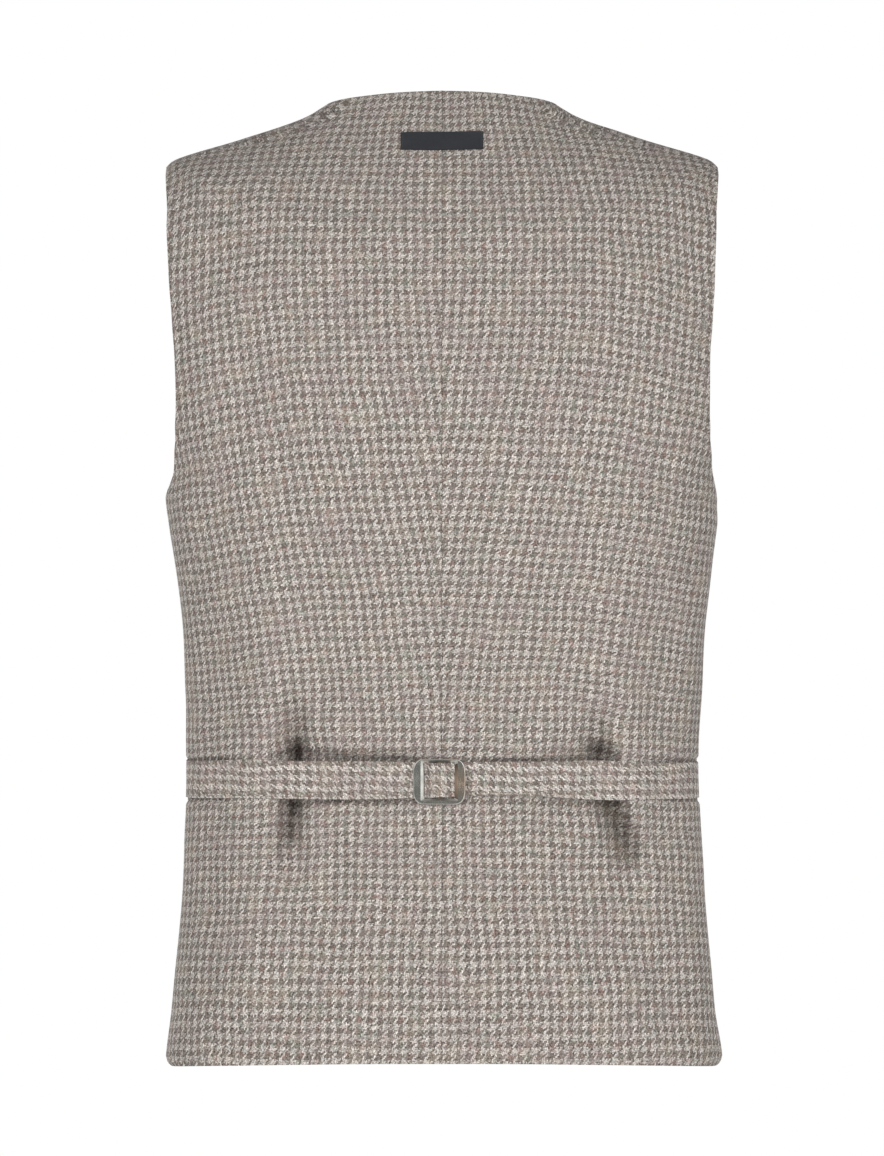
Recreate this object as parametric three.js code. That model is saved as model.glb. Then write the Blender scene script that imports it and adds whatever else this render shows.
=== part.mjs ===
// Suit waistcoat in its worn form, with nobody in it. Millimetres, +Z up. The wearer faces -Y and
// +X is the wearer's left. The origin lies midway between the shoulders, level with the underside
// of the cloth half way along each shoulder.
import * as THREE from 'three';

// Driving sizes
const clothWall = 2.0;
const seamGap = 0.3;
const seamTurn = 94;
const shoulderRound = 2.4;

// Sections from the hem up to the underarm and on over the shoulders to the neck. Up is the way up
// the centre back from the hem, breadth is the half width, Y and Z are depth and height at the side,
// centre back and centre front, and square says how boxy each half of the section is.
const sections = table(
  ['name', 'up', 'breadth', 'sideY', 'backY', 'frontY', 'backZ', 'sideZ', 'frontZ', 'backSquare', 'frontSquare'],
  [
    ['hem', 0, 174.0, 8, 97, -131, -571, -577, -586, 2.5, 2.3],
    ['seat', 50, 169.0, 10, 92, -132, -521, -524, -530, 2.5, 2.3],
    ['hip', 106, 164.0, 13, 83, -131, -466, -467, -470, 2.5, 2.3],
    ['waist', 172, 159.8, 14, 75, -128, -399, -399, -401, 2.6, 2.3],
    ['rib', 232, 161.3, 18, 83, -129, -340, -340, -342, 2.6, 2.3],
    ['lower chest', 292, 166.0, 22, 95, -132, -280, -280, -283, 2.5, 2.3],
    ['underarm', 349, 172.6, 22, 104, -134, -224, -224, -228, 2.4, 2.3],
    ['chest', 390, 176.3, 20, 108, -133, -184, -178, -193, 2.3, 2.2],
    ['blade', 432, 183.2, 16, 107, -128, -144, -130, -162, 2.25, 2.2],
    ['upper blade', 478, 188.5, 8, 101, -118, -102, -60, -131, 2.2, 2.1],
    ['shoulder tip', 530, 173.6, 0, 91, -104, -62, -15, -101, 2.1, 2.0],
    ['shoulder end', 542, 163.0, 0, 86, -101, -51, -9.4, -95, 2.05, 2.0],
    ['mid shoulder', 576, 125.0, 0, 70, -90, -22, 2, -78, 2.0, 2.0],
    ['neck fillet', 613, 88.0, 0, 48, -78, 8, 14.6, -60, 2.0, 2.0],
    ['neck', 642, 70.0, 0, 30, -70, 31.3, 24.3, -48, 2.0, 2.0],
  ],
);
const underarm = sectionNamed('underarm').up;
const shoulderTip = sectionNamed('shoulder tip').up;
const neck = sectionNamed('neck');

// Armholes: how far each cuts in from the seams, in degrees, and how full the curve is at the
// foot and at the top
const armhole = { backCut: 33, frontCut: 36, footFullness: 2.3, topFullness: 2.7 };

// Fronts: they cross by the overlap, open in a V above the top button and cut away below the last
const front = { overlap: 18, overlapGap: 0.8, vFoot: -238, cutAwayTop: -538, pointX: 42, easeOut: 26 };

// Waist strap across the back and its slide buckle
const strap = { topZ: -387.3, height: 22.8, wall: 1.6 };
const buckle = {
  width: 32.2, height: 28.2, wall: 1.6, bar: 6.7, topBar: 2.1, bottomBar: 2.7, centreBar: 3.0,
  corner: 6.5, cornerRise: 8.5, slotCorner: 0.6, edge: 0.35, play: 0.35, centreX: 1.6,
};

// Blank woven label on the centre-back seam, under the neck
const label = { width: 51, height: 14.6, wall: 0.7, lift: 0.45, centreZ: -2.6, rows: 3, columns: 8 };

// Buttons down the centre front
const button = {
  count: 5, topZ: -252, pitch: 68, radius: 7.6, wall: 3.2, rim: 1.1, dish: 0.9, lift: 0.45, sides: 18,
};

// Soft troughs that the strap draws down each half of the back: where each runs, height by height,
// and how deep it is
const troughs = table(
  ['z', 'leftX', 'leftDepth', 'rightX', 'rightDepth'],
  [
    [-150, 117, 0.8, -112, 0.3],
    [-200, 100, 2.2, -100, 1.2],
    [-250, 88, 3.2, -90, 2.4],
    [-300, 83, 4.0, -81, 3.6],
    [-348, 85, 4.8, -77, 4.6],
    [-387, 92, 6.0, -93, 6.0],
    [-411, 92, 6.0, -98, 6.0],
    [-448, 87, 5.0, -108, 5.0],
    [-490, 84, 4.0, -124, 3.6],
    [-533, 100, 2.8, -141, 2.2],
    [-558, 126, 1.4, -152, 1.0],
    [-580, 140, 0.6, -160, 0.4],
  ],
);
const troughShape = { inner: 30, outer: 13, ridgeOut: 30, ridgeWidth: 22, ridgeShare: 0.45 };

// Shorter creases, each from one end to the other across the back or front; a minus depth stands out
const backCreases = table(
  ['fromX', 'fromZ', 'toX', 'toZ', 'depth', 'width'],
  [
    [91, -345, 95, -389, 5.5, 8.5],
    [95, -404, 92, -462, 4.5, 8.5],
    [-93, -350, -97, -389, 5.0, 8.5],
    [-99, -404, -122, -458, 5.0, 8.5],
    [128, -250, 138, -420, 1.6, 16],
    [-126, -270, -136, -430, 1.6, 16],
    [60, -90, 96, -190, 1.6, 18],
    [-58, -95, -92, -200, 1.4, 18],
  ],
);
const frontCreases = table(
  ['fromX', 'fromZ', 'toX', 'toZ', 'depth', 'width'],
  [
    [112, -210, 84, -330, 2.6, 17],
    [-110, -220, -86, -340, 2.4, 17],
    [100, -360, 54, -440, 2.4, 15],
    [-104, -350, -58, -430, 2.6, 15],
    [96, -450, 76, -570, 2.6, 20],
    [-94, -460, -78, -568, 2.4, 20],
    [128, -300, 132, -480, 1.6, 14],
    [-128, -310, -132, -470, 1.6, 14],
  ],
);
const strapHollow = { depth: 1.6, reach: 92, bloat: 2.6, bloatRise: 15, bloatSpread: 11 };

// Grid steps: rows up each part of a panel, and the columns across it
const rowSteps = { skirt: 7, strap: 2, chest: 9, armhole: 11, shoulder: 5 };
const backColumns = [0, 0.07, 0.14, 0.21, 0.28, 0.335, 0.38, 0.42, 0.455, 0.49, 0.53, 0.575, 0.625,
  0.68, 0.74, 0.8, 0.86, 0.93, 1];
const frontColumns = [0, 0.045, 0.095, 0.15, 0.215, 0.285, 0.36, 0.44, 0.52, 0.6, 0.68, 0.76, 0.84, 0.92, 1];

// Helpers for tables, blends and curves

function table(columns, rows) {
  return rows.map((row) => Object.fromEntries(columns.map((column, k) => [column, row[k]])));
}

function sectionNamed(name) {
  return sections.find((section) => section.name === name);
}

function blend(from, to, share) {
  return from + (to - from) * share;
}

function smooth(low, high, value) {
  const share = Math.min(Math.max((value - low) / (high - low), 0), 1);
  return share * share * (3 - 2 * share);
}

function bell(distance, width) {
  return Math.exp(-((distance / width) ** 2));
}

function solve(low, high, test) {
  let from = low;
  let to = high;
  for (let step = 0; step < 40; step += 1) {
    const middle = (from + to) / 2;
    if (test(middle)) {
      to = middle;
    } else {
      from = middle;
    }
  }
  return (from + to) / 2;
}

// Smooth value of one column of the section table, at a place on the way up
function sectionValue(column, up) {
  const last = sections.length - 1;
  const above = sections.findIndex((section) => section.up > up);
  const k = above < 0 ? last - 1 : Math.max(above - 1, 0);
  const slope = (from, to) => {
    const low = sections[Math.max(from, 0)];
    const high = sections[Math.min(to, last)];
    return (high[column] - low[column]) / (high.up - low.up);
  };
  const low = sections[k];
  const high = sections[k + 1];
  const span = high.up - low.up;
  const share = (up - low.up) / span;
  const leave = slope(k - 1, k + 1) * span;
  const arrive = slope(k, k + 2) * span;
  const rise = high[column] - low[column];
  const bend = 3 * rise - 2 * leave - arrive;
  return low[column] + share * (leave + share * (bend + share * (leave + arrive - 2 * rise)));
}

// Plain form of the garment: up runs up the sections and turn goes round from the centre back in
// degrees, to 90 at the side and 180 at the centre front
function formPoint(up, turn) {
  const angle = THREE.MathUtils.degToRad(turn);
  const sin = Math.sin(angle);
  const cos = Math.cos(angle);
  const half = cos >= 0 ? 'back' : 'front';
  const square = sectionValue(`${half}Square`, up);
  const sideY = sectionValue('sideY', up);
  const sideZ = sectionValue('sideZ', up);
  const endZ = sectionValue(`${half}Z`, up);
  const depth = Math.abs(sectionValue(`${half}Y`, up) - sideY);
  const reach = (Math.abs(sin) ** square + Math.abs(cos) ** square) ** (-1 / square);
  return new THREE.Vector3(
    sectionValue('breadth', up) * reach * sin,
    sideY + depth * reach * cos,
    blend(endZ, sideZ, Math.abs(sin) ** shoulderRound),
  );
}

// Depth of the long trough on one half of the back, with the ridge that it throws up outside it
function troughDepth(side, x, z) {
  const name = side > 0 ? 'left' : 'right';
  const last = troughs.length - 1;
  if (z > troughs[0].z + 60) {
    return 0;
  }
  let k = troughs.findIndex((row) => row.z <= z);
  k = k < 0 ? last : Math.max(k, 1);
  const upper = troughs[k - 1];
  const lower = troughs[k];
  const share = smooth(0, 1, (upper.z - z) / (upper.z - lower.z));
  const depth = blend(upper[`${name}Depth`], lower[`${name}Depth`], share) * smooth(-90, -150, z);
  const away = Math.abs(x) - Math.abs(blend(upper[`${name}X`], lower[`${name}X`], share));
  const width = away < 0 ? troughShape.inner : troughShape.outer;
  const ridge = troughShape.ridgeShare * bell(away - troughShape.ridgeOut, troughShape.ridgeWidth);
  return depth * (bell(away, width) - ridge);
}

// Depth of a short crease at a point, fading at both ends
function creaseDepth(crease, x, z) {
  const runX = crease.toX - crease.fromX;
  const runZ = crease.toZ - crease.fromZ;
  const length = Math.hypot(runX, runZ);
  const along = ((x - crease.fromX) * runX + (z - crease.fromZ) * runZ) / length ** 2;
  const across = ((x - crease.fromX) * runZ - (z - crease.fromZ) * runX) / length;
  const fade = smooth(-0.18, 0.22, along) * smooth(1.18, 0.78, along);
  return crease.depth * fade * bell(across, crease.width);
}

// How far the cloth stands off the plain form, out being plus
function drape(side, turn, plain) {
  const x = side * Math.abs(plain.x);
  const z = plain.z;
  if (turn > 90) {
    const fade = smooth(93, 103, turn);
    return -fade * frontCreases.reduce((sum, crease) => sum + creaseDepth(crease, x, z), 0);
  }
  const fade = smooth(86, 74, turn);
  const middle = strap.topZ - strap.height / 2;
  const centre = smooth(strapHollow.reach, strapHollow.reach - 30, Math.abs(x));
  const hollow = strapHollow.depth * bell(z - middle, strap.height) * centre;
  const bloat = strapHollow.bloat * bell(z - strap.topZ - strapHollow.bloatRise, strapHollow.bloatSpread) * centre;
  const creases = backCreases.reduce((sum, crease) => sum + creaseDepth(crease, x, z), 0);
  return fade * (bloat - hollow - creases - troughDepth(side, x, z));
}

// Outward direction of the surface that place gives for up and turn
function outwardOf(place, up, turn) {
  const rise = place(up + 0.5, turn).sub(place(up - 0.5, turn));
  const round = place(up, turn + 0.2).sub(place(up, turn - 0.2));
  return rise.cross(round).normalize();
}

// Point of the plain form moved straight out by a height
function liftedPoint(side, up, turn, height) {
  const point = formPoint(up, turn);
  point.addScaledVector(outwardOf(formPoint, up, turn), height);
  point.x *= side;
  return point;
}

// Height of the draped cloth over the plain form
function drapeAt(side, up, turn) {
  return drape(side, turn, formPoint(up, turn));
}

// Point of the draped cloth, moved out by lift and then in by depth along its own normal
function clothPoint(side, up, turn, lift, depth) {
  const place = (atUp, atTurn) => liftedPoint(side, atUp, atTurn, drapeAt(side, atUp, atTurn) + lift);
  const point = place(up, turn);
  return point.addScaledVector(outwardOf(place, up, turn), -side * depth);
}

// Place on the way up whose height is z, at one turn
function upAtHeight(z, turn) {
  return solve(0, underarm, (up) => formPoint(up, turn).z > z);
}

// Turn that lies x out from the centre line of the back
function turnAtBreadth(up, x) {
  return solve(-80, 80, (turn) => formPoint(up, turn).x > x);
}

// Turn that stands a number of millimetres short of another, along the section
function turnShortOf(up, turn, gap) {
  const step = formPoint(up, turn + 0.5).distanceTo(formPoint(up, turn - 0.5));
  return turn - gap / step;
}

// Closed solid from a grid of points: a wall of cloth with an outer and an inner face. The point
// function gives the place of row, column and layer, layer 0 outside and 1 inside.
function wallGeometry(rows, columns, pointAt, mirrored) {
  const positions = [];
  const faces = [];
  const index = (row, column, layer) => layer * rows * columns + row * columns + column;
  for (let layer = 0; layer < 2; layer += 1) {
    for (let row = 0; row < rows; row += 1) {
      for (let column = 0; column < columns; column += 1) {
        positions.push(...pointAt(row, column, layer).toArray());
      }
    }
  }
  const quad = (a, b, c, d) => {
    if (mirrored) {
      faces.push(a, b, c, a, c, d);
    } else {
      faces.push(a, c, b, a, d, c);
    }
  };
  for (let row = 0; row < rows - 1; row += 1) {
    for (let column = 0; column < columns - 1; column += 1) {
      const corners = [[row, column], [row, column + 1], [row + 1, column + 1], [row + 1, column]];
      quad(...corners.map(([r, c]) => index(r, c, 0)));
      quad(...corners.reverse().map(([r, c]) => index(r, c, 1)));
    }
  }
  const rim = (fromRow, fromColumn, toRow, toColumn) => {
    quad(index(toRow, toColumn, 0), index(fromRow, fromColumn, 0),
      index(fromRow, fromColumn, 1), index(toRow, toColumn, 1));
  };
  for (let column = 0; column < columns - 1; column += 1) {
    rim(0, column, 0, column + 1);
    rim(rows - 1, column + 1, rows - 1, column);
  }
  for (let row = 0; row < rows - 1; row += 1) {
    rim(row + 1, 0, row, 0);
    rim(row, columns - 1, row + 1, columns - 1);
  }
  const geometry = new THREE.BufferGeometry();
  geometry.setAttribute('position', new THREE.Float32BufferAttribute(positions, 3));
  geometry.setIndex(faces);
  geometry.computeVertexNormals();
  return geometry;
}

// Rows of a panel, from the hem up: the place on the side seam, armhole or shoulder seam, and the
// share of the way through its own stretch
function panelRows() {
  const strapLow = upAtHeight(strap.topZ - strap.height, 0);
  const strapTop = upAtHeight(strap.topZ, 0);
  const rows = [];
  const climb = (from, to, steps, block) => {
    for (let step = rows.length ? 1 : 0; step <= steps; step += 1) {
      rows.push({ block, share: step / steps, up: blend(from, to, step / steps) });
    }
  };
  climb(0, strapLow, rowSteps.skirt, 'skirt');
  climb(strapLow, strapTop, rowSteps.strap, 'strap');
  climb(strapTop, underarm, rowSteps.chest, 'chest');
  climb(underarm, shoulderTip, rowSteps.armhole, 'armhole');
  climb(shoulderTip, neck.up, rowSteps.shoulder, 'shoulder');
  return rows;
}

// Edge of the armhole at a share of the way up it: it leaves the side seam level and meets the
// shoulder seam squarely
function armholeEdge(share, cut) {
  const eased = (1 - Math.cos(Math.PI * share)) / 2;
  const fullness = eased < 0.5 ? armhole.footFullness : armhole.topFullness;
  const full = (1 - Math.abs(2 * eased - 1) ** fullness) ** (1 / fullness);
  return { up: blend(underarm, shoulderTip, eased), turn: seamTurn + cut * full };
}

// Half of the back, cut from the centre-back seam to the side seam, armhole and shoulder seam
function backPanel(side) {
  const rows = panelRows();
  const pointAt = (row, column, layer) => {
    const { up, block, share } = rows[row];
    const open = block === 'armhole' && share < 1;
    const edge = block === 'armhole' ? armholeEdge(share, -armhole.backCut) : { up, turn: seamTurn };
    edge.turn = turnShortOf(edge.up, edge.turn, open ? 0 : seamGap / 2);
    const start = turnShortOf(up, 0, -seamGap / 2);
    const across = backColumns[column];
    const atUp = blend(up, edge.up, across);
    const atTurn = blend(start, edge.turn, across);
    return clothPoint(side, atUp, atTurn, 0, layer * clothWall);
  };
  return wallGeometry(rows.length, backColumns.length, pointAt, side < 0);
}

// Inner edge of a front: cut away at the foot, straight past the centre, then up the V neck
function frontEdgeTurn(up) {
  const lineX = (z) => {
    if (z < front.cutAwayTop) {
      const share = (front.cutAwayTop - z) / (front.cutAwayTop - sections[0].frontZ);
      return blend(-front.overlap, front.pointX, share);
    }
    const share = Math.max(0, (z - front.vFoot) / (neck.sideZ - front.vFoot));
    return blend(-front.overlap, neck.breadth, share);
  };
  return solve(90, 215, (turn) => {
    const point = formPoint(up, turn);
    return point.x < lineX(point.z);
  });
}

// Front, cut from its closing edge and V neck to the side seam, armhole and shoulder seam. The
// left front crosses over the right one.
function frontPanel(side) {
  const rows = panelRows().filter((row) => row.block !== 'shoulder');
  const over = side > 0 ? clothWall + front.overlapGap : 0;
  const last = frontColumns.length - 1;
  const pointAt = (row, column, layer) => {
    const { up, block, share } = rows[row];
    const armholeRow = block === 'armhole';
    const shoulderRow = armholeRow && share === 1;
    const edge = armholeRow ? armholeEdge(share, armhole.frontCut) : { up, turn: seamTurn };
    const innerUp = armholeRow ? blend(underarm, neck.up, share) : up;
    const innerTurn = shoulderRow ? seamTurn : frontEdgeTurn(innerUp);
    const across = frontColumns[column];
    const atUp = blend(innerUp, edge.up, across);
    const onSeam = shoulderRow || (column === last && !armholeRow);
    const atTurn = onSeam ? turnShortOf(atUp, seamTurn, -seamGap / 2) : blend(innerTurn, edge.turn, across);
    const rise = over * smooth(front.overlap + front.easeOut, front.overlap + 4, formPoint(atUp, atTurn).x);
    return clothPoint(side, atUp, atTurn, rise, layer * clothWall);
  };
  return wallGeometry(rows.length, frontColumns.length, pointAt, side > 0);
}

// Height of the strap's inner face where it lies on the back: over the cloth, bridging its troughs
function strapHeight(side, up, turn) {
  return Math.max(drapeAt(side, up, turn), 0) + seamGap;
}

// Heights of the strap's layers and the buckle's bars, one over the other. The play is what the
// strap's edges stand out further than its middle in the hollow of the waist.
const layerStep = strap.wall + seamGap;
const leftBarHeight = seamGap + layerStep + buckle.play;
const rightBarHeight = seamGap + 2 * layerStep + buckle.play;
const centreBarHeight = (leftBarHeight + rightBarHeight) / 2;
const overBarHeight = centreBarHeight + buckle.wall + seamGap;
const buckleTilt = Math.atan((rightBarHeight - leftBarHeight) / (buckle.width - buckle.bar));

// Half of the waist strap. The left one runs under the buckle's left bar, over its centre bar and
// under its right bar; the right one is fixed, and ends under the centre bar.
function strapPiece(side) {
  const rows = panelRows().filter((row, k, all) => row.block === 'strap' || all[k + 1]?.block === 'strap');
  const edgeTurn = turnShortOf(rows[0].up, seamTurn, seamGap / 2);
  const window = buckle.width / 2 - buckle.bar;
  const running = [
    [buckle.width / 2 + 1, 0],
    [window + 0.4, 0],
    [buckle.centreBar / 2 + 0.8, 1],
    [0, 1],
    [-buckle.centreBar / 2 - 0.8, 1],
    [1.2 - window, layerStep / (overBarHeight - seamGap)],
    [1 - buckle.width / 2, layerStep / (overBarHeight - seamGap)],
  ];
  const fixed = [[-buckle.width / 2 - 1, 0], [-window, 0], [0, 0]];
  const ends = (side > 0 ? running : fixed).map(([x, share]) => ({
    x: (buckle.centreX + x) * side, height: blend(seamGap, overBarHeight, share),
  }));
  const laid = backColumns.filter((across) => across * edgeTurn > 9).reverse();
  const pointAt = (row, column, layer) => {
    const { up } = rows[row];
    const onBack = column < laid.length;
    const end = ends[column - laid.length];
    const start = turnShortOf(up, 0, -seamGap / 2);
    const turn = onBack ? blend(start, edgeTurn, laid[column]) : turnAtBreadth(up, end.x);
    const height = onBack ? strapHeight(side, up, turn) : end.height;
    return liftedPoint(side, up, turn, height + (1 - layer) * strap.wall);
  };
  return wallGeometry(rows.length, laid.length + ends.length, pointAt, side > 0);
}

// Closed outline of a rectangle with rounded corners, each corner reaching in by x and by y
function roundedOutline(path, left, low, right, high, x, y) {
  path.moveTo(left + x, low);
  path.lineTo(right - x, low);
  path.quadraticCurveTo(right, low, right, low + y);
  path.lineTo(right, high - y);
  path.quadraticCurveTo(right, high, right - x, high);
  path.lineTo(left + x, high);
  path.quadraticCurveTo(left, high, left, high - y);
  path.lineTo(left, low + y);
  path.quadraticCurveTo(left, low, left + x, low);
  return path;
}

// Slide buckle: a plate with bowed ends and two slots, seen with its outer face up
function buckleGeometry() {
  const { width, height, wall, bar, edge, corner, cornerRise, slotCorner } = buckle;
  const halfWidth = width / 2 - edge;
  const halfHeight = height / 2 - edge;
  const plate = new THREE.Shape();
  const shape = roundedOutline(plate, -halfWidth, -halfHeight, halfWidth, halfHeight, corner, cornerRise);
  const slotIn = buckle.centreBar / 2 - edge;
  const slotOut = width / 2 - bar + edge;
  const slotLow = buckle.bottomBar - height / 2 - edge;
  const slotHigh = height / 2 - buckle.topBar + edge;
  for (const left of [-slotOut, slotIn]) {
    const right = left + slotOut - slotIn;
    const slot = new THREE.Path();
    shape.holes.push(roundedOutline(slot, left, slotLow, right, slotHigh, slotCorner, slotCorner));
  }
  const geometry = new THREE.ExtrudeGeometry(shape, {
    depth: wall - 2 * edge,
    bevelEnabled: true,
    bevelSize: edge,
    bevelThickness: edge,
    bevelSegments: 1,
    curveSegments: 3,
  });
  geometry.translate(0, (buckle.topBar - buckle.bottomBar) / 2, edge);
  return geometry;
}

// Woven label laid on the back across its centre seam
function labelGeometry() {
  const middle = solve(shoulderTip, neck.up, (up) => formPoint(up, 0).z > label.centreZ);
  const pointAt = (row, column, layer) => {
    const up = middle + label.height * (row / label.rows - 0.5);
    const turn = turnAtBreadth(up, label.width * (column / label.columns - 0.5));
    return liftedPoint(1, up, turn, label.lift + (1 - layer) * label.wall);
  };
  return wallGeometry(label.rows + 1, label.columns + 1, pointAt, false);
}

// Button: a disc with a raised rim and a shallow dish, its back on the plane of its base
function buttonGeometry() {
  const { radius, wall, rim, dish } = button;
  const profile = [
    [0, 0],
    [radius - rim, 0],
    [radius, wall * 0.45],
    [radius - rim * 0.35, wall * 0.9],
    [radius - rim * 1.1, wall],
    [radius - rim * 2.4, wall - dish],
    [0, wall - dish],
  ];
  return new THREE.LatheGeometry(profile.map(([x, y]) => new THREE.Vector2(x, y)), button.sides);
}

function finish(color, roughness, metalness) {
  return new THREE.MeshStandardMaterial({ color, roughness, metalness });
}

function addMesh(group, name, geometry, material) {
  const mesh = new THREE.Mesh(geometry, material);
  mesh.name = name;
  group.add(mesh);
  return mesh;
}

// The waistcoat
const waistcoat = new THREE.Group();
const wool = finish(0xa59d96, 0.92, 0);
addMesh(waistcoat, 'back_left', backPanel(1), wool);
addMesh(waistcoat, 'back_right', backPanel(-1), wool);
addMesh(waistcoat, 'front_left', frontPanel(1), wool);
addMesh(waistcoat, 'front_right', frontPanel(-1), wool);
addMesh(waistcoat, 'strap_left', strapPiece(1), wool);
addMesh(waistcoat, 'strap_right', strapPiece(-1), wool);
addMesh(waistcoat, 'label', labelGeometry(), finish(0x34353a, 0.8, 0));

const strapUp = upAtHeight(strap.topZ - strap.height / 2, 0);
const buckleMesh = addMesh(waistcoat, 'buckle', buckleGeometry(), finish(0x8c8a86, 0.3, 1));
const outward = new THREE.Vector3(Math.sin(buckleTilt), Math.cos(buckleTilt), 0);
const rightward = new THREE.Vector3(-Math.cos(buckleTilt), Math.sin(buckleTilt), 0);
const upward = new THREE.Vector3(0, 0, 1);
buckleMesh.setRotationFromMatrix(new THREE.Matrix4().makeBasis(rightward, upward, outward));
buckleMesh.position.copy(liftedPoint(1, strapUp, turnAtBreadth(strapUp, buckle.centreX), centreBarHeight));

const buttonFinish = finish(0x4a3b30, 0.45, 0);
for (let k = 0; k < button.count; k += 1) {
  const z = button.topZ - k * button.pitch;
  const up = solve(0, underarm, (at) => formPoint(at, 180).z > z);
  const mesh = addMesh(waistcoat, `button_${k + 1}`, buttonGeometry(), buttonFinish);
  const overlapHeight = clothWall + front.overlapGap + button.lift;
  mesh.position.copy(liftedPoint(1, up, 180, overlapHeight));
  mesh.quaternion.setFromUnitVectors(new THREE.Vector3(0, 1, 0), outwardOf(formPoint, up, 180));
}

export default waistcoat;
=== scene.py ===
import math

import bpy
import numpy as np
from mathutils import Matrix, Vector
from mathutils.kdtree import KDTree


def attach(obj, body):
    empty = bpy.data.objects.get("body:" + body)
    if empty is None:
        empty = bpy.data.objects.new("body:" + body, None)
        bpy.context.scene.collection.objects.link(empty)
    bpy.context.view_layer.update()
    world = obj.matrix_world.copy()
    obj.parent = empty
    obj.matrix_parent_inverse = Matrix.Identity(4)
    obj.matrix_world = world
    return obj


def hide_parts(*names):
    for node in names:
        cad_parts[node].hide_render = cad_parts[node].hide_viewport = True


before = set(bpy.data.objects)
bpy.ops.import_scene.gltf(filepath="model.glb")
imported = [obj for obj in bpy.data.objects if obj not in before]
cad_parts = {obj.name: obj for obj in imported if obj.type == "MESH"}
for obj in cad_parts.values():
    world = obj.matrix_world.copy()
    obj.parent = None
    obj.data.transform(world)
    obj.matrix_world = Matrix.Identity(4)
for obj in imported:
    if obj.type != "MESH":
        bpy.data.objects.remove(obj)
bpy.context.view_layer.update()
print("frame loaded")

# Lengths are in millimetres until a mesh is made. Back is +Y, and +X is the wearer's left.
millimetre = 0.001


def tableOf(columns, rows):  # one list of numbers for each column
    return {name: np.array(values, float) for name, values in zip(columns, zip(*rows))}


# The garment's sections from the hem up to the neck, as the solids have them
sectionColumns = (
    "up", "breadth", "sideY", "backY", "frontY", "backZ", "sideZ", "frontZ", "backSquare", "frontSquare",
)
sectionRows = (
    (0, 174.0, 8, 97, -131, -571, -577, -586, 2.5, 2.3),  # hem
    (50, 169.0, 10, 92, -132, -521, -524, -530, 2.5, 2.3),
    (106, 164.0, 13, 83, -131, -466, -467, -470, 2.5, 2.3),
    (172, 159.8, 14, 75, -128, -399, -399, -401, 2.6, 2.3),  # waist
    (232, 161.3, 18, 83, -129, -340, -340, -342, 2.6, 2.3),
    (292, 166.0, 22, 95, -132, -280, -280, -283, 2.5, 2.3),
    (349, 172.6, 22, 104, -134, -224, -224, -228, 2.4, 2.3),  # underarm
    (390, 176.3, 20, 108, -133, -184, -178, -193, 2.3, 2.2),
    (432, 183.2, 16, 107, -128, -144, -130, -162, 2.25, 2.2),
    (478, 188.5, 8, 101, -118, -102, -60, -131, 2.2, 2.1),
    (530, 173.6, 0, 91, -104, -62, -15, -101, 2.1, 2.0),  # shoulder tip
    (542, 163.0, 0, 86, -101, -51, -9.4, -95, 2.05, 2.0),
    (576, 125.0, 0, 70, -90, -22, 2, -78, 2.0, 2.0),
    (613, 88.0, 0, 48, -78, 8, 14.6, -60, 2.0, 2.0),
    (642, 70.0, 0, 30, -70, 31.3, 24.3, -48, 2.0, 2.0),  # neck
)
sections = tableOf(sectionColumns, sectionRows)

cut = {
    "hem": 0, "waist": 172, "underarm": 349, "shoulderTip": 530, "neck": 642,
    "wall": 2.0, "seamGap": 0.3, "seamTurn": 94, "shoulderRound": 2.4,
    "foldRadius": 1.0, "seamRadius": 0.45,  # how round a folded edge and a sewn edge are
    "seamDepth": {"start": 0.45, "end": 0.8},  # how far a sewn edge dips, as shares of the wall
    "edgeSteps": (0.1, 0.35, 0.8, 1.6),  # extra rows and columns beside every edge
    "rowStep": 2.9, "closeStep": 1.25, "columnCount": (124, 88),  # columns on the back and on the front
    "closeColumns": (0.365, 0.06, 3.6),  # where across the back, how far to each side, how many times closer
    "closeReach": 16, "armholeRows": 1.35,  # closer rows: how far from the strap, and how many times
    "flatStep": 9.0, "flatColumns": 28,  # the coarser grid that is let down flat
}
armhole = {"backCut": 33, "frontCut": 36, "footFullness": 2.3, "topFullness": 2.7}
front = {
    "overlap": 18, "overlapGap": 0.8, "vFoot": -238, "cutAwayTop": -538, "pointX": 42,
    "easeOut": 26, "easeIn": 4, "straightIn": 4,
}

# Long soft troughs that the strap draws down each half of the back
troughColumns = ("z", "leftX", "leftDepth", "rightX", "rightDepth")
troughRows = (
    (-150, 117, 0.8, 112, 0.3),
    (-200, 100, 2.2, 100, 1.2),
    (-250, 88, 3.2, 90, 2.4),
    (-300, 83, 4.0, 81, 3.6),
    (-348, 85, 4.8, 77, 4.6),
    (-387, 92, 6.0, 93, 6.0),
    (-411, 92, 6.0, 98, 6.0),
    (-448, 87, 5.0, 108, 5.0),
    (-490, 84, 4.0, 124, 3.6),
    (-533, 100, 2.8, 141, 2.2),
    (-558, 126, 1.4, 152, 1.0),
    (-580, 140, 0.6, 160, 0.4),
)
troughs = tableOf(troughColumns, troughRows)
troughShape = {
    "inner": 30, "outer": 13, "ridgeOut": 30, "ridgeWidth": 22, "ridgeShare": 0.45, "fade": (-90, -150),
}

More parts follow.
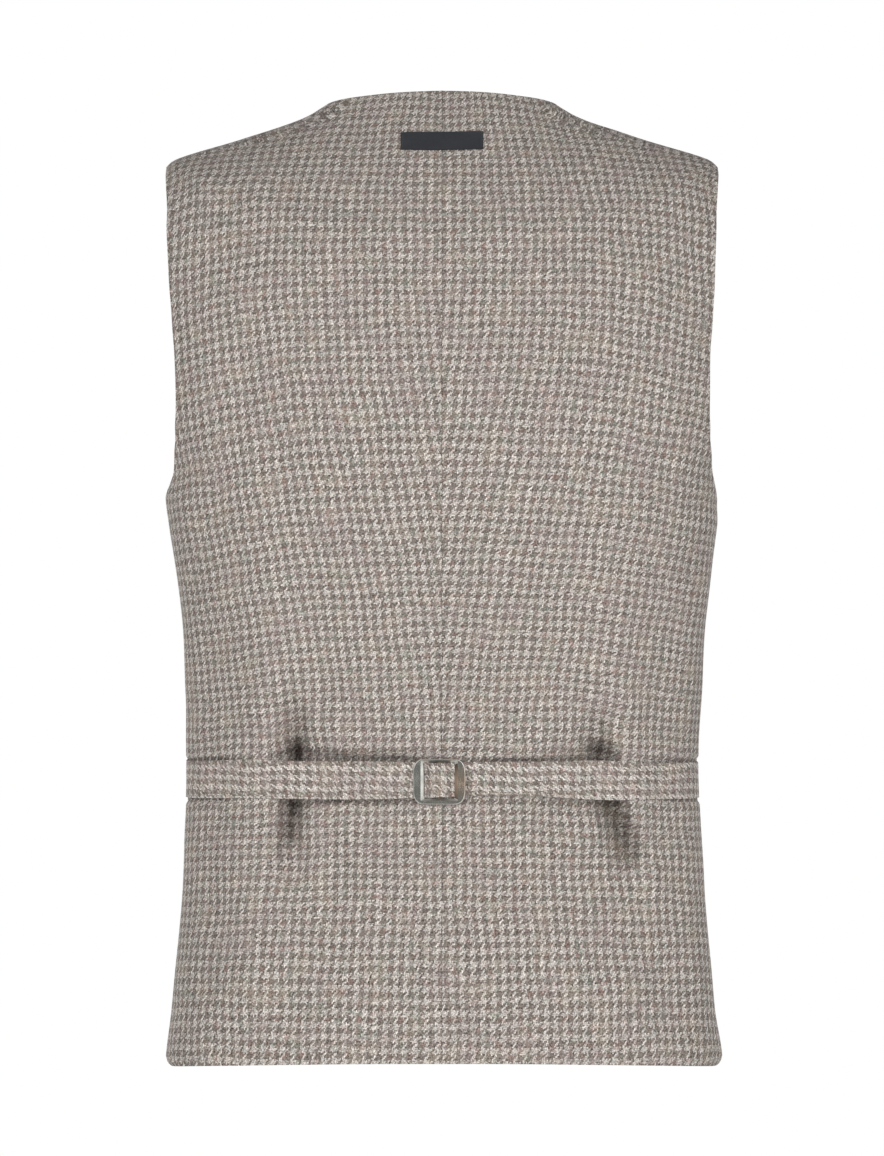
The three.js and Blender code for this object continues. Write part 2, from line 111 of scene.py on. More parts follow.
# Creases from one end to the other: fromX, fromZ, toX, toZ, depth, width. Minus depths stand out.
backCreases = (
    (91, -345, 95, -389, 5.5, 8.5),
    (95, -404, 92, -462, 4.5, 8.5),
    (-93, -350, -97, -389, 5.0, 8.5),
    (-99, -404, -122, -458, 5.0, 8.5),
    (128, -250, 138, -420, 1.6, 16),
    (-126, -270, -136, -430, 1.6, 16),
    (60, -90, 96, -190, 1.6, 18),
    (-58, -95, -92, -200, 1.4, 18),
)
frontCreases = (
    (112, -210, 84, -330, 3.6, 15),
    (-110, -220, -86, -340, 3.2, 15),
    (100, -360, 54, -440, 3.6, 13),
    (-104, -350, -58, -430, 3.9, 13),
    (96, -450, 76, -570, 3.6, 17),
    (-94, -460, -78, -568, 3.3, 17),
    (128, -300, 132, -480, 2.2, 12),
    (-128, -310, -132, -470, 2.2, 12),
)
# Finer ones that only the cloth here has, in the same columns
backFineCreases = (
    (66, -370, 82, -388, 1.4, 5.5),
    (-66, -374, -86, -388, 1.2, 5.5),
    (40, -330, 62, -384, 0.8, 9),
    (-36, -335, -60, -384, 0.7, 9),
    (104, -330, 109, -384, -1.3, 8),
    (-113, -335, -117, -384, -1.2, 8),
    (108, -410, 124, -470, 0.9, 9),
    (-90, -408, -103, -462, -1.0, 5.5),
    (-96, -406, -108, -446, 0.8, 3.4),
    (-127, -408, -137, -446, 0.8, 4.2),
    (-137, -412, -150, -500, 0.9, 9),
    (82, -410, 80, -462, -0.8, 6),
    (70, -420, 64, -500, 0.6, 12),
    (122, -130, 138, -240, 0.9, 12),
    (-120, -140, -140, -245, 0.8, 12),
    (146, -300, 150, -380, 0.8, 9),
    (-148, -310, -150, -385, 0.8, 9),
    (144, -285, 146, -520, 2.8, 17),  # the sides turn away about the waist
    (-144, -285, -146, -520, 2.6, 17),
)
# Pockets that the strap pinches deep into the cloth: their creases, and then their pits
backPockets = (
    (91, -356, 91, -392, 6.5, 5.0),
    (93, -404, 99, -444, 7.5, 4.6),
    (-98.5, -360, -98, -392, 5.5, 5.4),
    (-104, -404, -119, -447, 8.5, 4.8),
    (-84, -387.5, -112, -387, 4.0, 3.6),
    (14, -386.5, 98, -386, 8.0, 5.0),
    (-22, -387, -92, -386.6, 3.8, 2.8),
    (16, -408.8, 86, -409.2, 3.6, 2.8),
    (-22, -407.5, -100, -410.5, 2.6, 4.0),
    (104, -387, 150, -386, 1.6, 1.9),
    (-110, -388, -150, -388.5, 1.6, 2.2),
)
backPits = (  # x, z, depth, breadth, height
    (91.0, -383, 19.0, 5.4, 7.5),
    (92.5, -413, 15.0, 4.8, 8.0),
    (95.5, -427, 11.0, 4.4, 8.5),
    (-100.0, -383, 18.0, 5.6, 7.0),
    (-105.5, -411, 15.5, 4.8, 7.5),
    (-110.5, -422, 15.5, 4.8, 8.0),
    (-114.5, -432, 12.5, 4.6, 8.0),
    (-118.5, -441, 7.5, 4.6, 8.0),
)
# How much further out the cloth lies at the sides than the plain form
sideLayColumns = ("z", "left", "right")
sideLayRows = (
    (-10, 0.5, 0.5), (-32, 1.9, 1.2), (-50, 0.9, 0.2), (-75, -1.1, -0.7), (-100, 0.0, 0.1), (-125, 1.1, 1.3),
    (-160, 2.1, 3.1), (-176, 1.9, 2.7), (-190, 0.0, 1.0), (-208, -2.8, -1.5), (-224, -0.5, -0.9),
    (-240, -0.9, 0.9), (-300, -2.2, 0.3), (-345, -1.0, 1.0), (-375, 0.0, 0.5), (-425, -0.4, 0.8),
    (-470, -2.1, 0.0), (-540, -1.6, 0.0), (-571, -1.0, 1.9),
)
sideLays = tableOf(sideLayColumns, sideLayRows)
# How the yarns lie in each half of the back: their lean towards the seam going down, in degrees, how
# close the weft is, and how much of the droop at the sides there is. Then that droop, in degrees, by
# the distance from the seam.
grainColumns = ("z", "lean", "weft", "droop")
grainRows = (
    (-571, 0, 0.885, 0), (-538, 0.5, 0.888, 0), (-513, -1.5, 0.893, 0.1), (-482, -2.5, 0.967, 0.3),
    (-451, -0.5, 1.055, 0.3), (-400, 1.0, 1.06, 0.5), (-352, 3, 1.065, 0.7), (-315, 5.5, 1.07, 1),
    (-278, 7, 1.065, 1), (-240, 8.5, 1.046, 1), (-203, 7.5, 0.967, 1), (-166, 7, 0.97, 1),
    (-129, 4.5, 1.01, 1), (-92, 1.5, 1.05, 0.8), (-54, 0, 1.05, 0.3), (31, 0, 1.05, 0),
)
grainLay = tableOf(grainColumns, grainRows)
grainDroop = ((0, 2.5), (60, 2.5), (90, 5), (130, 10), (175, 11))
frontFineCreases = (
    (60, -262, 104, -236, 0.8, 9),
    (-56, -266, -100, -240, 0.7, 9),
    (46, -330, 92, -300, 0.6, 10),
    (-44, -336, -94, -304, 0.6, 10),
    (70, -500, 104, -560, 0.8, 11),
    (-66, -505, -100, -560, 0.8, 11),
)
hemCurl = {"height": 7.0, "centreShare": 0.22, "sideShare": 0.95, "sideSpread": 34, "fullness": 0.96}
tipWear = {"x": 173.6, "z": -14, "depth": 1.5, "spread": 5.5}
strapSeat = {"from": 118, "full": 148, "depth": 2.0, "edge": 4}  # the strap sinks in towards the side seams
strapHollow = {"depth": 1.6, "reach": 92, "fade": 30, "bloat": 2.6, "bloatRise": 15, "bloatSpread": 11}
# Where folds fade in and out, in degrees round from the centre back
turnSpans = {
    "frontFolds": (93, 103), "backFolds": (86, 74), "strapSeat": (96, 94),
    "sideFromBack": (35, 62), "sideToFront": (150, 118),
}
creaseEnds = {"start": (-0.18, 0.22), "end": (1.18, 0.78)}  # where each crease fades, in shares of its length
# Faint uneven lay of the cloth: wave length across, wave length up, turn of phase, height
layWaves = (
    (61, 148, 0.4, 0.22), (97, 83, 2.1, 0.20), (43, 211, 4.0, 0.14), (151, 57, 1.2, 0.16),
    (37, 66, 5.2, 0.08),
)


def smooth(low, high, value):
    share = np.clip((value - low) / (high - low), 0, 1)
    return share * share * (3 - 2 * share)


def bell(distance, width):
    return np.exp(-((distance / width) ** 2))


def blend(start, end, share):
    return start + (end - start) * share


def unit(vectors):
    return vectors / np.linalg.norm(vectors, axis=-1, keepdims=True)


def pathLengths(path):  # how far along it each point lies
    return np.concatenate(([0], np.cumsum(np.linalg.norm(np.diff(path, axis=0), axis=-1))))


def easedAt(table, column, z):  # one column of a table by height, eased between its rows
    heights, values = table["z"], table[column]
    k = np.clip(np.searchsorted(-heights, -z), 1, len(heights) - 1)
    share = smooth(0, 1, (heights[k - 1] - z) / (heights[k - 1] - heights[k]))
    return blend(values[k - 1], values[k], share)


def solve(low, high, test, shape=()):  # halves the range until test turns true
    start, end = np.full(shape, float(low)), np.full(shape, float(high))
    for step in range(36):
        middle = (start + end) / 2
        found = test(middle)
        end = np.where(found, middle, end)
        start = np.where(found, start, middle)
    return (start + end) / 2


def sectionValue(column, up):  # one column of the section table, smoothly between its rows
    knots, values = sections["up"], sections[column]
    last = len(knots) - 1
    low = np.clip(np.searchsorted(knots, up, side="right") - 1, 0, last - 1)
    high = low + 1
    before, after = np.maximum(low - 1, 0), np.minimum(low + 2, last)
    span = knots[high] - knots[low]
    share = (up - knots[low]) / span
    leave = (values[high] - values[before]) / (knots[high] - knots[before]) * span
    arrive = (values[after] - values[low]) / (knots[after] - knots[low]) * span
    rise = values[high] - values[low]
    bend = 3 * rise - 2 * leave - arrive
    return values[low] + share * (leave + share * (bend + share * (leave + arrive - 2 * rise)))


def formPoint(up, turn):  # plain form: up the sections, and round from centre back 0 to centre front 180
    up, turn = np.broadcast_arrays(np.asarray(up, float), np.asarray(turn, float))
    angle = np.radians(turn)
    sine, cosine = np.sin(angle), np.cos(angle)

    def half(name):
        return np.where(cosine >= 0, sectionValue("back" + name, up), sectionValue("front" + name, up))

    square, sideY, sideZ = half("Square"), sectionValue("sideY", up), sectionValue("sideZ", up)
    reach = (np.abs(sine) ** square + np.abs(cosine) ** square) ** (-1 / square)
    x = sectionValue("breadth", up) * reach * sine
    y = sideY + np.abs(half("Y") - sideY) * reach * cosine
    z = blend(half("Z"), sideZ, np.abs(sine) ** cut["shoulderRound"])
    return np.stack((x, y, z), axis=-1)


def troughDepth(side, x, z):
    name = "left" if side > 0 else "right"
    depth = easedAt(troughs, name + "Depth", z) * smooth(*troughShape["fade"], z)
    away = np.abs(x) - easedAt(troughs, name + "X", z)
    width = np.where(away < 0, troughShape["inner"], troughShape["outer"])
    ridge = troughShape["ridgeShare"] * bell(away - troughShape["ridgeOut"], troughShape["ridgeWidth"])
    return depth * (bell(away, width) - ridge)


def creaseDepths(creases, x, z):
    total = 0
    for fromX, fromZ, toX, toZ, depth, width in creases:
        runX, runZ = toX - fromX, toZ - fromZ
        length = math.hypot(runX, runZ)
        along = ((x - fromX) * runX + (z - fromZ) * runZ) / length**2
        across = ((x - fromX) * runZ - (z - fromZ) * runX) / length
        fade = smooth(*creaseEnds["start"], along) * smooth(*creaseEnds["end"], along)
        total = total + depth * fade * bell(across, width)
    return total


def unevenLay(x, z, turn):  # a few long waves, still at the seams and the centre
    total = 0
    for acrossLength, upLength, phase, height in layWaves:
        total = total + height * np.sin(2 * np.pi * (x / acrossLength + z / upLength) + phase)
    total = total * smooth(0, 12, turn) * smooth(0, 8, np.abs(turn - 90))
    return total * smooth(180, 168, np.minimum(turn, 360 - turn))


def turnedIn(turn, plain):  # the hem curls under, the shoulder tips are worn round, the strap sinks in
    x, z = np.abs(plain[..., 0]), plain[..., 2]
    tall = hemCurl["height"]
    hemZ = np.where(turn > 90, sections["frontZ"][0], sections["backZ"][0])
    above = np.clip(z - blend(hemZ, sections["sideZ"][0], np.sin(np.radians(turn)) ** 2), 0, tall)
    curl = tall - np.sqrt(tall**2 - (tall - above) ** 2 * hemCurl["fullness"])
    share = blend(hemCurl["centreShare"], hemCurl["sideShare"], bell(turn - 90, hemCurl["sideSpread"]))
    tip = np.hypot(x - tipWear["x"], z - tipWear["z"])
    top, lower, edge = strap["topZ"], strap["topZ"] - strap["height"], strapSeat["edge"]
    seat = smooth(top + edge, top, z) * smooth(lower - edge, lower, z)
    seat = seat * smooth(strapSeat["from"], strapSeat["full"], x)
    seat = seat * smooth(*turnSpans["strapSeat"], turn) * strapSeat["depth"]
    return curl * share + tipWear["depth"] * bell(tip, tipWear["spread"]) + seat


def sideLay(side, turn, z):
    lay = easedAt(sideLays, "left" if side > 0 else "right", z)
    return lay * smooth(*turnSpans["sideFromBack"], turn) * smooth(*turnSpans["sideToFront"], turn)


def drape(side, turn, plain, pockets=True):  # how far the cloth stands off the plain form
    x, z = side * np.abs(plain[..., 0]), plain[..., 2]
    onFront = smooth(*turnSpans["frontFolds"], turn) * -creaseDepths(frontCreases + frontFineCreases, x, z)
    centre = smooth(strapHollow["reach"], strapHollow["reach"] - strapHollow["fade"], np.abs(x))
    middle = strap["topZ"] - strap["height"] / 2
    hollow = strapHollow["depth"] * bell(z - middle, strap["height"]) * centre
    above = z - strap["topZ"] - strapHollow["bloatRise"]
    bloat = strapHollow["bloat"] * bell(above, strapHollow["bloatSpread"]) * centre
    creases = backCreases + backFineCreases + (backPockets if pockets else ())
    pulled = creaseDepths(creases, x, z) + troughDepth(side, x, z)
    for atX, atZ, depth, breadth, height in backPits if pockets else ():
        pulled = pulled + depth * bell(x - atX, breadth) * bell(z - atZ, height)
    onBack = smooth(*turnSpans["backFolds"], turn) * (bloat - hollow - pulled)
    settled = unevenLay(x, z, turn) + sideLay(side, turn, z) - turnedIn(turn, plain)
    return np.where(turn > 90, onFront, onBack) + settled


def outwardOf(place, up, turn):
    rise = place(up + 0.5, turn) - place(up - 0.5, turn)
    around = place(up, turn + 0.2) - place(up, turn - 0.2)
    return unit(np.cross(rise, around))


def liftedPoint(side, up, turn, height):  # point of the plain form, moved straight out
    point = formPoint(up, turn) + outwardOf(formPoint, up, turn) * np.asarray(height)[..., None]
    return point * (side, 1, 1)


def drapeAt(side, up, turn, pockets=True):
    return drape(side, turn, formPoint(up, turn), pockets)


def clothFace(side, up, turn, lift=0.0, pockets=True):  # outer points of the draped cloth, and the way out
    def place(atUp, atTurn):  # pockets go straight forward into the garment
        plain = drapeAt(side, atUp, atTurn, False)
        point = liftedPoint(side, atUp, atTurn, plain + lift)
        if pockets:
            point[..., 1] += drapeAt(side, atUp, atTurn) - plain
        return point

    return place(up, turn), outwardOf(place, up, turn) * side


def turnShortOf(up, turn, gap):  # the turn that stands so many millimetres short of another
    step = np.linalg.norm(formPoint(up, turn + 0.5) - formPoint(up, turn - 0.5), axis=-1)
    return turn - gap / step


def upAtHeight(z, turn):
    return solve(0, cut["underarm"], lambda up: formPoint(up, turn)[..., 2] > z, np.shape(z))


def turnAtFront(up, x):  # the turn whose point on the front lies x out from the centre
    shape = np.broadcast_shapes(np.shape(up), np.shape(x))
    return solve(90, 250, lambda turn: formPoint(up, turn)[..., 0] < x, shape)


def turnAtBreadth(up, x):  # the same on the back
    shape = np.broadcast_shapes(np.shape(up), np.shape(x))
    return solve(-80, 80, lambda turn: formPoint(up, turn)[..., 0] > x, shape)


# Panels: a place in one is its row, 0 hem to 5 neck by stretches, and its share of the way across
strap = {
    "topZ": -387.3, "height": 22.8, "wall": 1.6, "edgeSteps": (0.1, 0.35, 0.8), "rows": 44, "columns": 120,
    "stitchIn": 1.5,  # from the lower edge to its row of stitches
    "knotOut": 2.4, "acrossStep": 0.6, "endSteps": (1.3, 0.8, 0.35, 0.1),  # columns by the buckle
    "checkRise": 3.1, "sampleOffs": (-9, -3, 3, 9),
    "uneven": (  # x, and how far its lower and its upper edge lie above their plain places
        (-160, 0.3, 0.0), (-135, 0.5, -0.2), (-103, -0.2, 2.2), (-52, 3.3, 1.7), (-20, 3.0, 1.5),
        (0, 2.2, 1.3), (20, 1.4, 1.5), (54, 0.6, 1.7), (125, 1.2, 2.2), (160, 0.6, 0.8),
    ),
}
strapMiddleUp = float(upAtHeight(strap["topZ"] - strap["height"] / 2, 0))
stretchUps = [
    cut["hem"], float(upAtHeight(strap["topZ"] - strap["height"], 0)), float(upAtHeight(strap["topZ"], 0)),
    cut["underarm"], cut["shoulderTip"], cut["neck"],
]


def armholeEdge(share, reach):
    eased = (1 - np.cos(np.pi * share)) / 2
    fullness = np.where(eased < 0.5, armhole["footFullness"], armhole["topFullness"])
    full = (1 - np.abs(2 * eased - 1) ** fullness) ** (1 / fullness)
    return blend(cut["underarm"], cut["shoulderTip"], eased), cut["seamTurn"] + reach * full


def backPlace(row, across):
    up = np.interp(row, range(6), stretchUps)
    open = (row > 3) & (row < 4)
    edgeUp, edgeTurn = armholeEdge(np.clip(row - 3, 0, 1), -armhole["backCut"])
    edgeUp, edgeTurn = np.where(open, edgeUp, up), np.where(open, edgeTurn, cut["seamTurn"])
    return blend(up, edgeUp, across), edgeTurn * across


def frontEdgeTurn(up):  # cut away at the foot, straight past the centre, then up the V neck
    def lineX(z):
        cutAway = (front["cutAwayTop"] - z) / (front["cutAwayTop"] - sections["frontZ"][0])
        rise = np.maximum(0, (z - front["vFoot"]) / (sections["sideZ"][-1] - front["vFoot"]))
        low = blend(-front["overlap"], front["pointX"], cutAway)
        return np.where(z < front["cutAwayTop"], low, blend(-front["overlap"], sections["breadth"][-1], rise))

    def past(turn):
        point = formPoint(up, turn)
        return point[..., 0] < lineX(point[..., 2])

    return solve(90, 215, past, np.shape(up))


def frontPlace(row, across):
    up = np.interp(row, range(6), stretchUps)
    share = np.clip(row - 3, 0, 1)
    armholeRow, shoulderRow = row > 3, share >= 1
    edgeUp, edgeTurn = armholeEdge(share, armhole["frontCut"])
    edgeUp, edgeTurn = np.where(armholeRow, edgeUp, up), np.where(armholeRow, edgeTurn, cut["seamTurn"])
    innerUp = np.where(armholeRow, blend(cut["underarm"], cut["neck"], share), up)
    innerTurn = np.broadcast_to(frontEdgeTurn(innerUp[:, :1]), innerUp.shape)
    atUp = blend(innerUp, edgeUp, across)
    atTurn = np.where(shoulderRow, cut["seamTurn"], blend(innerTurn, edgeTurn, across))
    return atUp, np.maximum(atTurn, cut["seamTurn"])


def frontLift(side, up, turn):  # the left front lies over the right one
    over = cut["wall"] + front["overlapGap"] if side > 0 else 0
    inner, outer = front["overlap"] + front["easeIn"], front["overlap"] + front["easeOut"]
    return over * smooth(outer, inner, formPoint(up, turn)[..., 0])


def edgeSpaced(low, high, count, steps):  # even steps, with closer ones beside both ends
    inner = np.linspace(low + steps[-1] * 2, high - steps[-1] * 2, count)
    return np.concatenate(([low], low + np.array(steps), inner, high - np.array(steps[::-1]), [high]))


def panelRows(last, rowStep, closeStep=None):  # rows by stretches, closer together about the strap
    rows = [0.0]
    for k in range(last):
        low, high = stretchUps[k], stretchUps[k + 1]
        fine = np.linspace(low, high, 400)
        near = bell(np.maximum(0, np.abs(fine - strapMiddleUp) - strap["height"]), cut["closeReach"])
        density = 1 / blend(rowStep, closeStep or rowStep, near) * (cut["armholeRows"] if k == 3 else 1)
        count = np.concatenate(([0], np.cumsum((density[1:] + density[:-1]) / 2 * np.diff(fine))))
        steps = max(2, round(count[-1]))
        places = np.interp(np.linspace(0, count[-1], steps + 1)[1:], count, fine)
        rows.extend(k + (places - low) / (high - low))
    return np.array(rows)


def closerColumns(count, centre, spread, times, fade=0.05):  # shares of the way across, closer about one
    fine = np.linspace(0, 1, 1000)
    density = 1 + (times - 1) * bell(np.maximum(0, np.abs(fine - centre) - spread), fade)
    total = np.concatenate(([0], np.cumsum(density[1:])))
    return np.interp(np.linspace(0, total[-1], count), total, fine)


def panelGrid(place, last):  # rows and shares of the way across, closer together beside every edge
    steps, columnCount = cut["edgeSteps"], cut["columnCount"][0 if last == 5 else 1]
    rows = panelRows(last, cut["rowStep"], cut["closeStep"] if last == 5 else None)
    foot = [step / (stretchUps[1] - stretchUps[0]) for step in steps]
    head = [step / (stretchUps[last] - stretchUps[last - 1]) for step in steps]
    rows = np.unique(np.concatenate((rows, foot, last - np.array(head))))
    even = np.linspace(0, 1, columnCount)[None, :] * np.ones((len(rows), 1))
    up, turn = place(rows[:, None] * np.ones_like(even), even)
    spans = np.linalg.norm(np.diff(formPoint(up, turn), axis=1), axis=-1) * (columnCount - 1)
    spans = np.maximum(spans, 20)
    near = np.array(steps)[None, :] / spans[:, :1]
    far = 1 - np.array(steps[::-1])[None, :] / spans[:, -1:]
    low, high = near[:, -1:] * 2, 1 - (1 - far[:, :1]) * 2
    shares = closerColumns(columnCount, *cut["closeColumns"]) if last == 5 else np.linspace(0, 1, columnCount)
    inner = blend(low, high, shares[None, :])
    ends = np.ones((len(rows), 1))
    across = np.concatenate((0 * ends, near, inner, far, ends), axis=1)
    return rows[:, None] * np.ones_like(across), across


# Flat cut of a panel: its points are let down onto a plane until every thread has its own length
def flatCut(points, edgeX, pinned, pinnedPlaces, rounds=2600, overshoot=1.6):
    rows, columns = points.shape[:2]
    steps = np.linalg.norm(np.diff(points, axis=1), axis=-1)
    across = np.concatenate((np.zeros((rows, 1)), np.cumsum(steps, axis=1)), axis=1)
    waistZ = np.interp(cut["waist"], sections["up"], sections["backZ"])
    flat = np.stack((across + edgeX[:, None], points[..., 2] - waistZ), axis=-1)
    flat[pinned] = pinnedPlaces
    slices = (
        (np.s_[:, :-1], np.s_[:, 1:]), (np.s_[:-1, :], np.s_[1:, :]),
        (np.s_[:-1, :-1], np.s_[1:, 1:]), (np.s_[:-1, 1:], np.s_[1:, :-1]),
    )
    lengths = [np.linalg.norm(points[b] - points[a], axis=-1) for a, b in slices]
    for step in range(rounds):
        moves, counts = np.zeros_like(flat), np.zeros((rows, columns, 1))
        for (a, b), length in zip(slices, lengths):
            gap = flat[b] - flat[a]
            now = np.linalg.norm(gap, axis=-1)
            push = gap * ((now - length) / np.maximum(now, 0.01) / 2)[..., None]
            moves[a] += push
            moves[b] -= push
            counts[a] += 1
            counts[b] += 1
        flat = flat + overshoot * moves / counts
        flat[pinned] = pinnedPlaces
    return flat


def flatBetween(rows, columns, flat, atRows, atColumns):  # flat places at a finer grid
    k = np.clip(np.searchsorted(rows, atRows, side="right") - 1, 0, len(rows) - 2)
    c = np.clip(np.searchsorted(columns, atColumns, side="right") - 1, 0, len(columns) - 2)
    r = ((atRows - rows[k]) / (rows[k + 1] - rows[k]))[..., None]
    s = ((atColumns - columns[c]) / (columns[c + 1] - columns[c]))[..., None]
    return blend(blend(flat[k, c], flat[k, c + 1], s), blend(flat[k + 1, c], flat[k + 1, c + 1], s), r)


def yarnPlaces(cloth):  # the flat cut's places moved to where the yarns lie, for the back
    ups = np.interp(grainLay["z"], sections["backZ"], sections["up"]) - cut["waist"]
    fine = np.linspace(ups[0] - 20, ups[-1] + 40, 900)
    width = fine[1] - fine[0]
    lean = np.cumsum(np.tan(np.radians(np.interp(fine, ups, grainLay["lean"])))) * width
    count = np.cumsum(np.interp(fine, ups, grainLay["weft"])) * width
    out = np.linspace(0, 200, 400)
    droop = np.cumsum(np.tan(np.radians(np.interp(out, *zip(*grainDroop))))) * (out[1] - out[0])
    across, up = cloth[..., 0], cloth[..., 1]
    middle = np.interp(0, fine, lean), np.interp(0, fine, count)
    leaned = across - np.interp(up, fine, lean) + middle[0]
    sag = np.interp(across, out, droop) * np.interp(up, ups, grainLay["droop"])
    drooped = np.interp(up, fine, count) - middle[1] + sag
    return np.stack((leaned, drooped), axis=-1)


def gridArea(grid):
    one, two = grid[1:, 1:] - grid[:-1, :-1], grid[1:, :-1] - grid[:-1, 1:]
    if grid.shape[-1] == 2:
        return float(np.abs(one[..., 0] * two[..., 1] - one[..., 1] * two[..., 0]).sum() / 2)
    return float(np.linalg.norm(np.cross(one, two), axis=-1).sum() / 2)


# Walls: an outer and an inner face that meet in a rounded edge
def roundedEdges(points, outward, wall, edgeKinds, radii, sampleStep=0.25, near=8):
    rows, columns = points.shape[:2]
    border = {
        "foot": [(0, c) for c in range(columns)], "head": [(rows - 1, c) for c in range(columns)],
        "start": [(r, 0) for r in range(rows)], "end": [(r, columns - 1) for r in range(rows)],
    }
    samples = []
    for name, path in border.items():
        for (a, b), (c, d) in zip(path, path[1:]):
            kind = edgeKinds(name, a, b, c, d)
            one, two = points[a, b], points[c, d]
            count = max(1, int(np.linalg.norm(two - one) / sampleStep))
            samples.extend((blend(one, two, k / count), kind) for k in range(count))
    tree = KDTree(len(samples))
    for k, (point, kind) in enumerate(samples):
        tree.insert(point, k)
    tree.balance()
    depth = np.zeros((rows, columns))
    for r in range(rows):
        full = r < near or r >= rows - near
        for c in range(columns) if full else (*range(near), *range(columns - near, columns)):
            found, k, distance = tree.find(points[r, c])
            radius = radii[samples[k][1]]
            share = min(distance / radius, 1)
            depth[r, c] = radius * (1 - math.sqrt(1 - (1 - share) ** 2))
    depth[0], depth[-1], depth[:, 0], depth[:, -1] = (wall / 2,) * 4
    for r in range(rows):
        for c, name in ((0, "start"), (columns - 1, "end")):
            if edgeKinds(name, r, c, r, c) == "seam":
                depth[r, c] = wall * cut["seamDepth"][name]
    outer = points - outward * depth[..., None]
    inner = points - outward * (wall - depth)[..., None]
    return outer, inner


def linked(name, data):  # a new object in the scene
    made = bpy.data.objects.new(name, data)
    bpy.context.scene.collection.objects.link(made)
    return made


def standsFor(piece, node):
    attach(piece, "root")
    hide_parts(node)


def wallMesh(name, outer, inner, flat, material):
    rows, columns = outer.shape[:2]
    face = np.arange(rows * columns).reshape(rows, columns)
    inside = face.copy()
    inside[1:-1, 1:-1] = rows * columns + np.arange((rows - 2) * (columns - 2)).reshape(rows - 2, columns - 2)
    vertices = np.concatenate((outer.reshape(-1, 3), inner[1:-1, 1:-1].reshape(-1, 3))) * millimetre
    r, c = rows // 2, columns // 2
    across, rise = outer[r, c + 1] - outer[r, c], outer[r + 1, c] - outer[r, c]
    forward = np.dot(np.cross(across, rise), outer[r, c] - inner[r, c]) > 0

    def quads(index, forward):
        corners = (index[:-1, :-1], index[:-1, 1:], index[1:, 1:], index[1:, :-1])
        return np.stack(corners if forward else corners[::-1], axis=-1).reshape(-1, 4)

    faces = np.concatenate((quads(face, forward), quads(inside, not forward)))
    places = np.concatenate((flat.reshape(-1, 2), flat[1:-1, 1:-1].reshape(-1, 2))) * millimetre
    mesh = bpy.data.meshes.new(name)
    mesh.from_pydata(vertices.tolist(), [], faces.tolist())
    corners = places[faces.reshape(-1)].reshape(-1).astype(np.float32)
    mesh.uv_layers.new(name="flatCut").data.foreach_set("uv", corners)
    mesh.polygons.foreach_set("use_smooth", np.ones(len(faces), bool))
    mesh.materials.append(material)
    mesh.update()
    return linked(name, mesh)


# Materials
def paint(red, green, blue):  # a colour read off a screen, made linear
    shares = (red / 255, green / 255, blue / 255)
    return tuple(c / 12.92 if c <= 0.04045 else ((c + 0.055) / 1.055) ** 2.4 for c in shares) + (1,)


def put(tree, kind, inputs=None, **settings):
    node = tree.nodes.new(kind)
    for name, value in settings.items():
        setattr(node, name, value)
    for name, value in (inputs or {}).items():
        if isinstance(value, bpy.types.NodeSocket):
            tree.links.new(value, node.inputs[name])
        else:
            node.inputs[name].default_value = value
    return node


def calc(tree, operation, *values):
    return put(tree, "ShaderNodeMath", dict(enumerate(values)), operation=operation).outputs[0]


def mixed(tree, share, one, two, way="MIX"):
    node = put(tree, "ShaderNodeMix", {0: share, 6: one, 7: two}, data_type="RGBA", blend_type=way)
    return node.outputs[2]


def grain(tree, place, scale, detail=2.0, rough=0.5, seed=0.0):  # soft noise from 0 to 1
    shifted = put(tree, "ShaderNodeVectorMath", {0: place, 1: (seed, seed * 0.7, 0)}, operation="ADD")
    return put(tree, "ShaderNodeTexNoise", {
        "Vector": shifted.outputs[0], "Scale": scale, "Detail": detail, "Roughness": rough})


def spread(tree, value, low, high, fromLow=0.0, fromHigh=1.0):
    return put(tree, "ShaderNodeMapRange", {0: value, 1: fromLow, 2: fromHigh, 3: low, 4: high}).outputs[0]


def newMaterial(name, roughness, metallic=0.0, **shader):
    material = bpy.data.materials.new(name)
    material.use_nodes = True
    tree = material.node_tree
    finish = tree.nodes["Principled BSDF"]
    finish.inputs["Roughness"].default_value = roughness
    finish.inputs["Metallic"].default_value = metallic
    for key, value in shader.items():
        finish.inputs[key.replace("_", " ")].default_value = value
    return material, tree, finish


def cutPlace(tree):  # the place on the flat cut, in millimetres
    flat = put(tree, "ShaderNodeUVMap", uv_map="flatCut").outputs[0]
    return put(tree, "ShaderNodeVectorMath", {0: flat, 3: 1 / millimetre}, operation="SCALE").outputs[0]


def bumped(tree, finish, strength, distance, height):
    bump = put(tree, "ShaderNodeBump", {"Strength": strength, "Distance": distance, "Height": height})
    tree.links.new(bump.outputs[0], finish.inputs["Normal"])


wool = {
    "warpPitch": 0.775, "weftPitch": 0.87, "ends": 8,  # yarns in one repeat of the check
    "light": paint(204, 197, 191), "dark": paint(132, 123, 116), "weftDark": 0.93,
    "rust": paint(158, 118, 108), "green": paint(146, 156, 144), "cream": paint(205, 190, 164),
    "rose": paint(172, 150, 152), "relief": 0.36,
    "wander": (0.50, 2.5),  # how far a yarn strays, from one check to the next and over a hand's breadth
    "paintedRibbonShade": (1.03, 0.95),  # painted shade: warp-over ribbons lighter and weft-over ones darker, as the warp stands proud in slanting ribbons
    "tones": {  # lighter and darker by, between these values of the noise
        "slub": (0.10, 0.3, 0.7), "fibre": (0.84, 0.25, 0.75), "eachFloat": (0.17, 0, 1),
        "streak": (0.05, 0.3, 0.7), "slant": (0.24, 0.25, 0.75),
    },
    "flecks": (  # colour, its share at most, between these values of the noise
        ("rust", 0.36, 0.55, 0.72), ("green", 0.36, 0.56, 0.72), ("cream", 0.17, 0.52, 0.72),
        ("rose", 0.20, 0.5, 0.7),
    ),
}


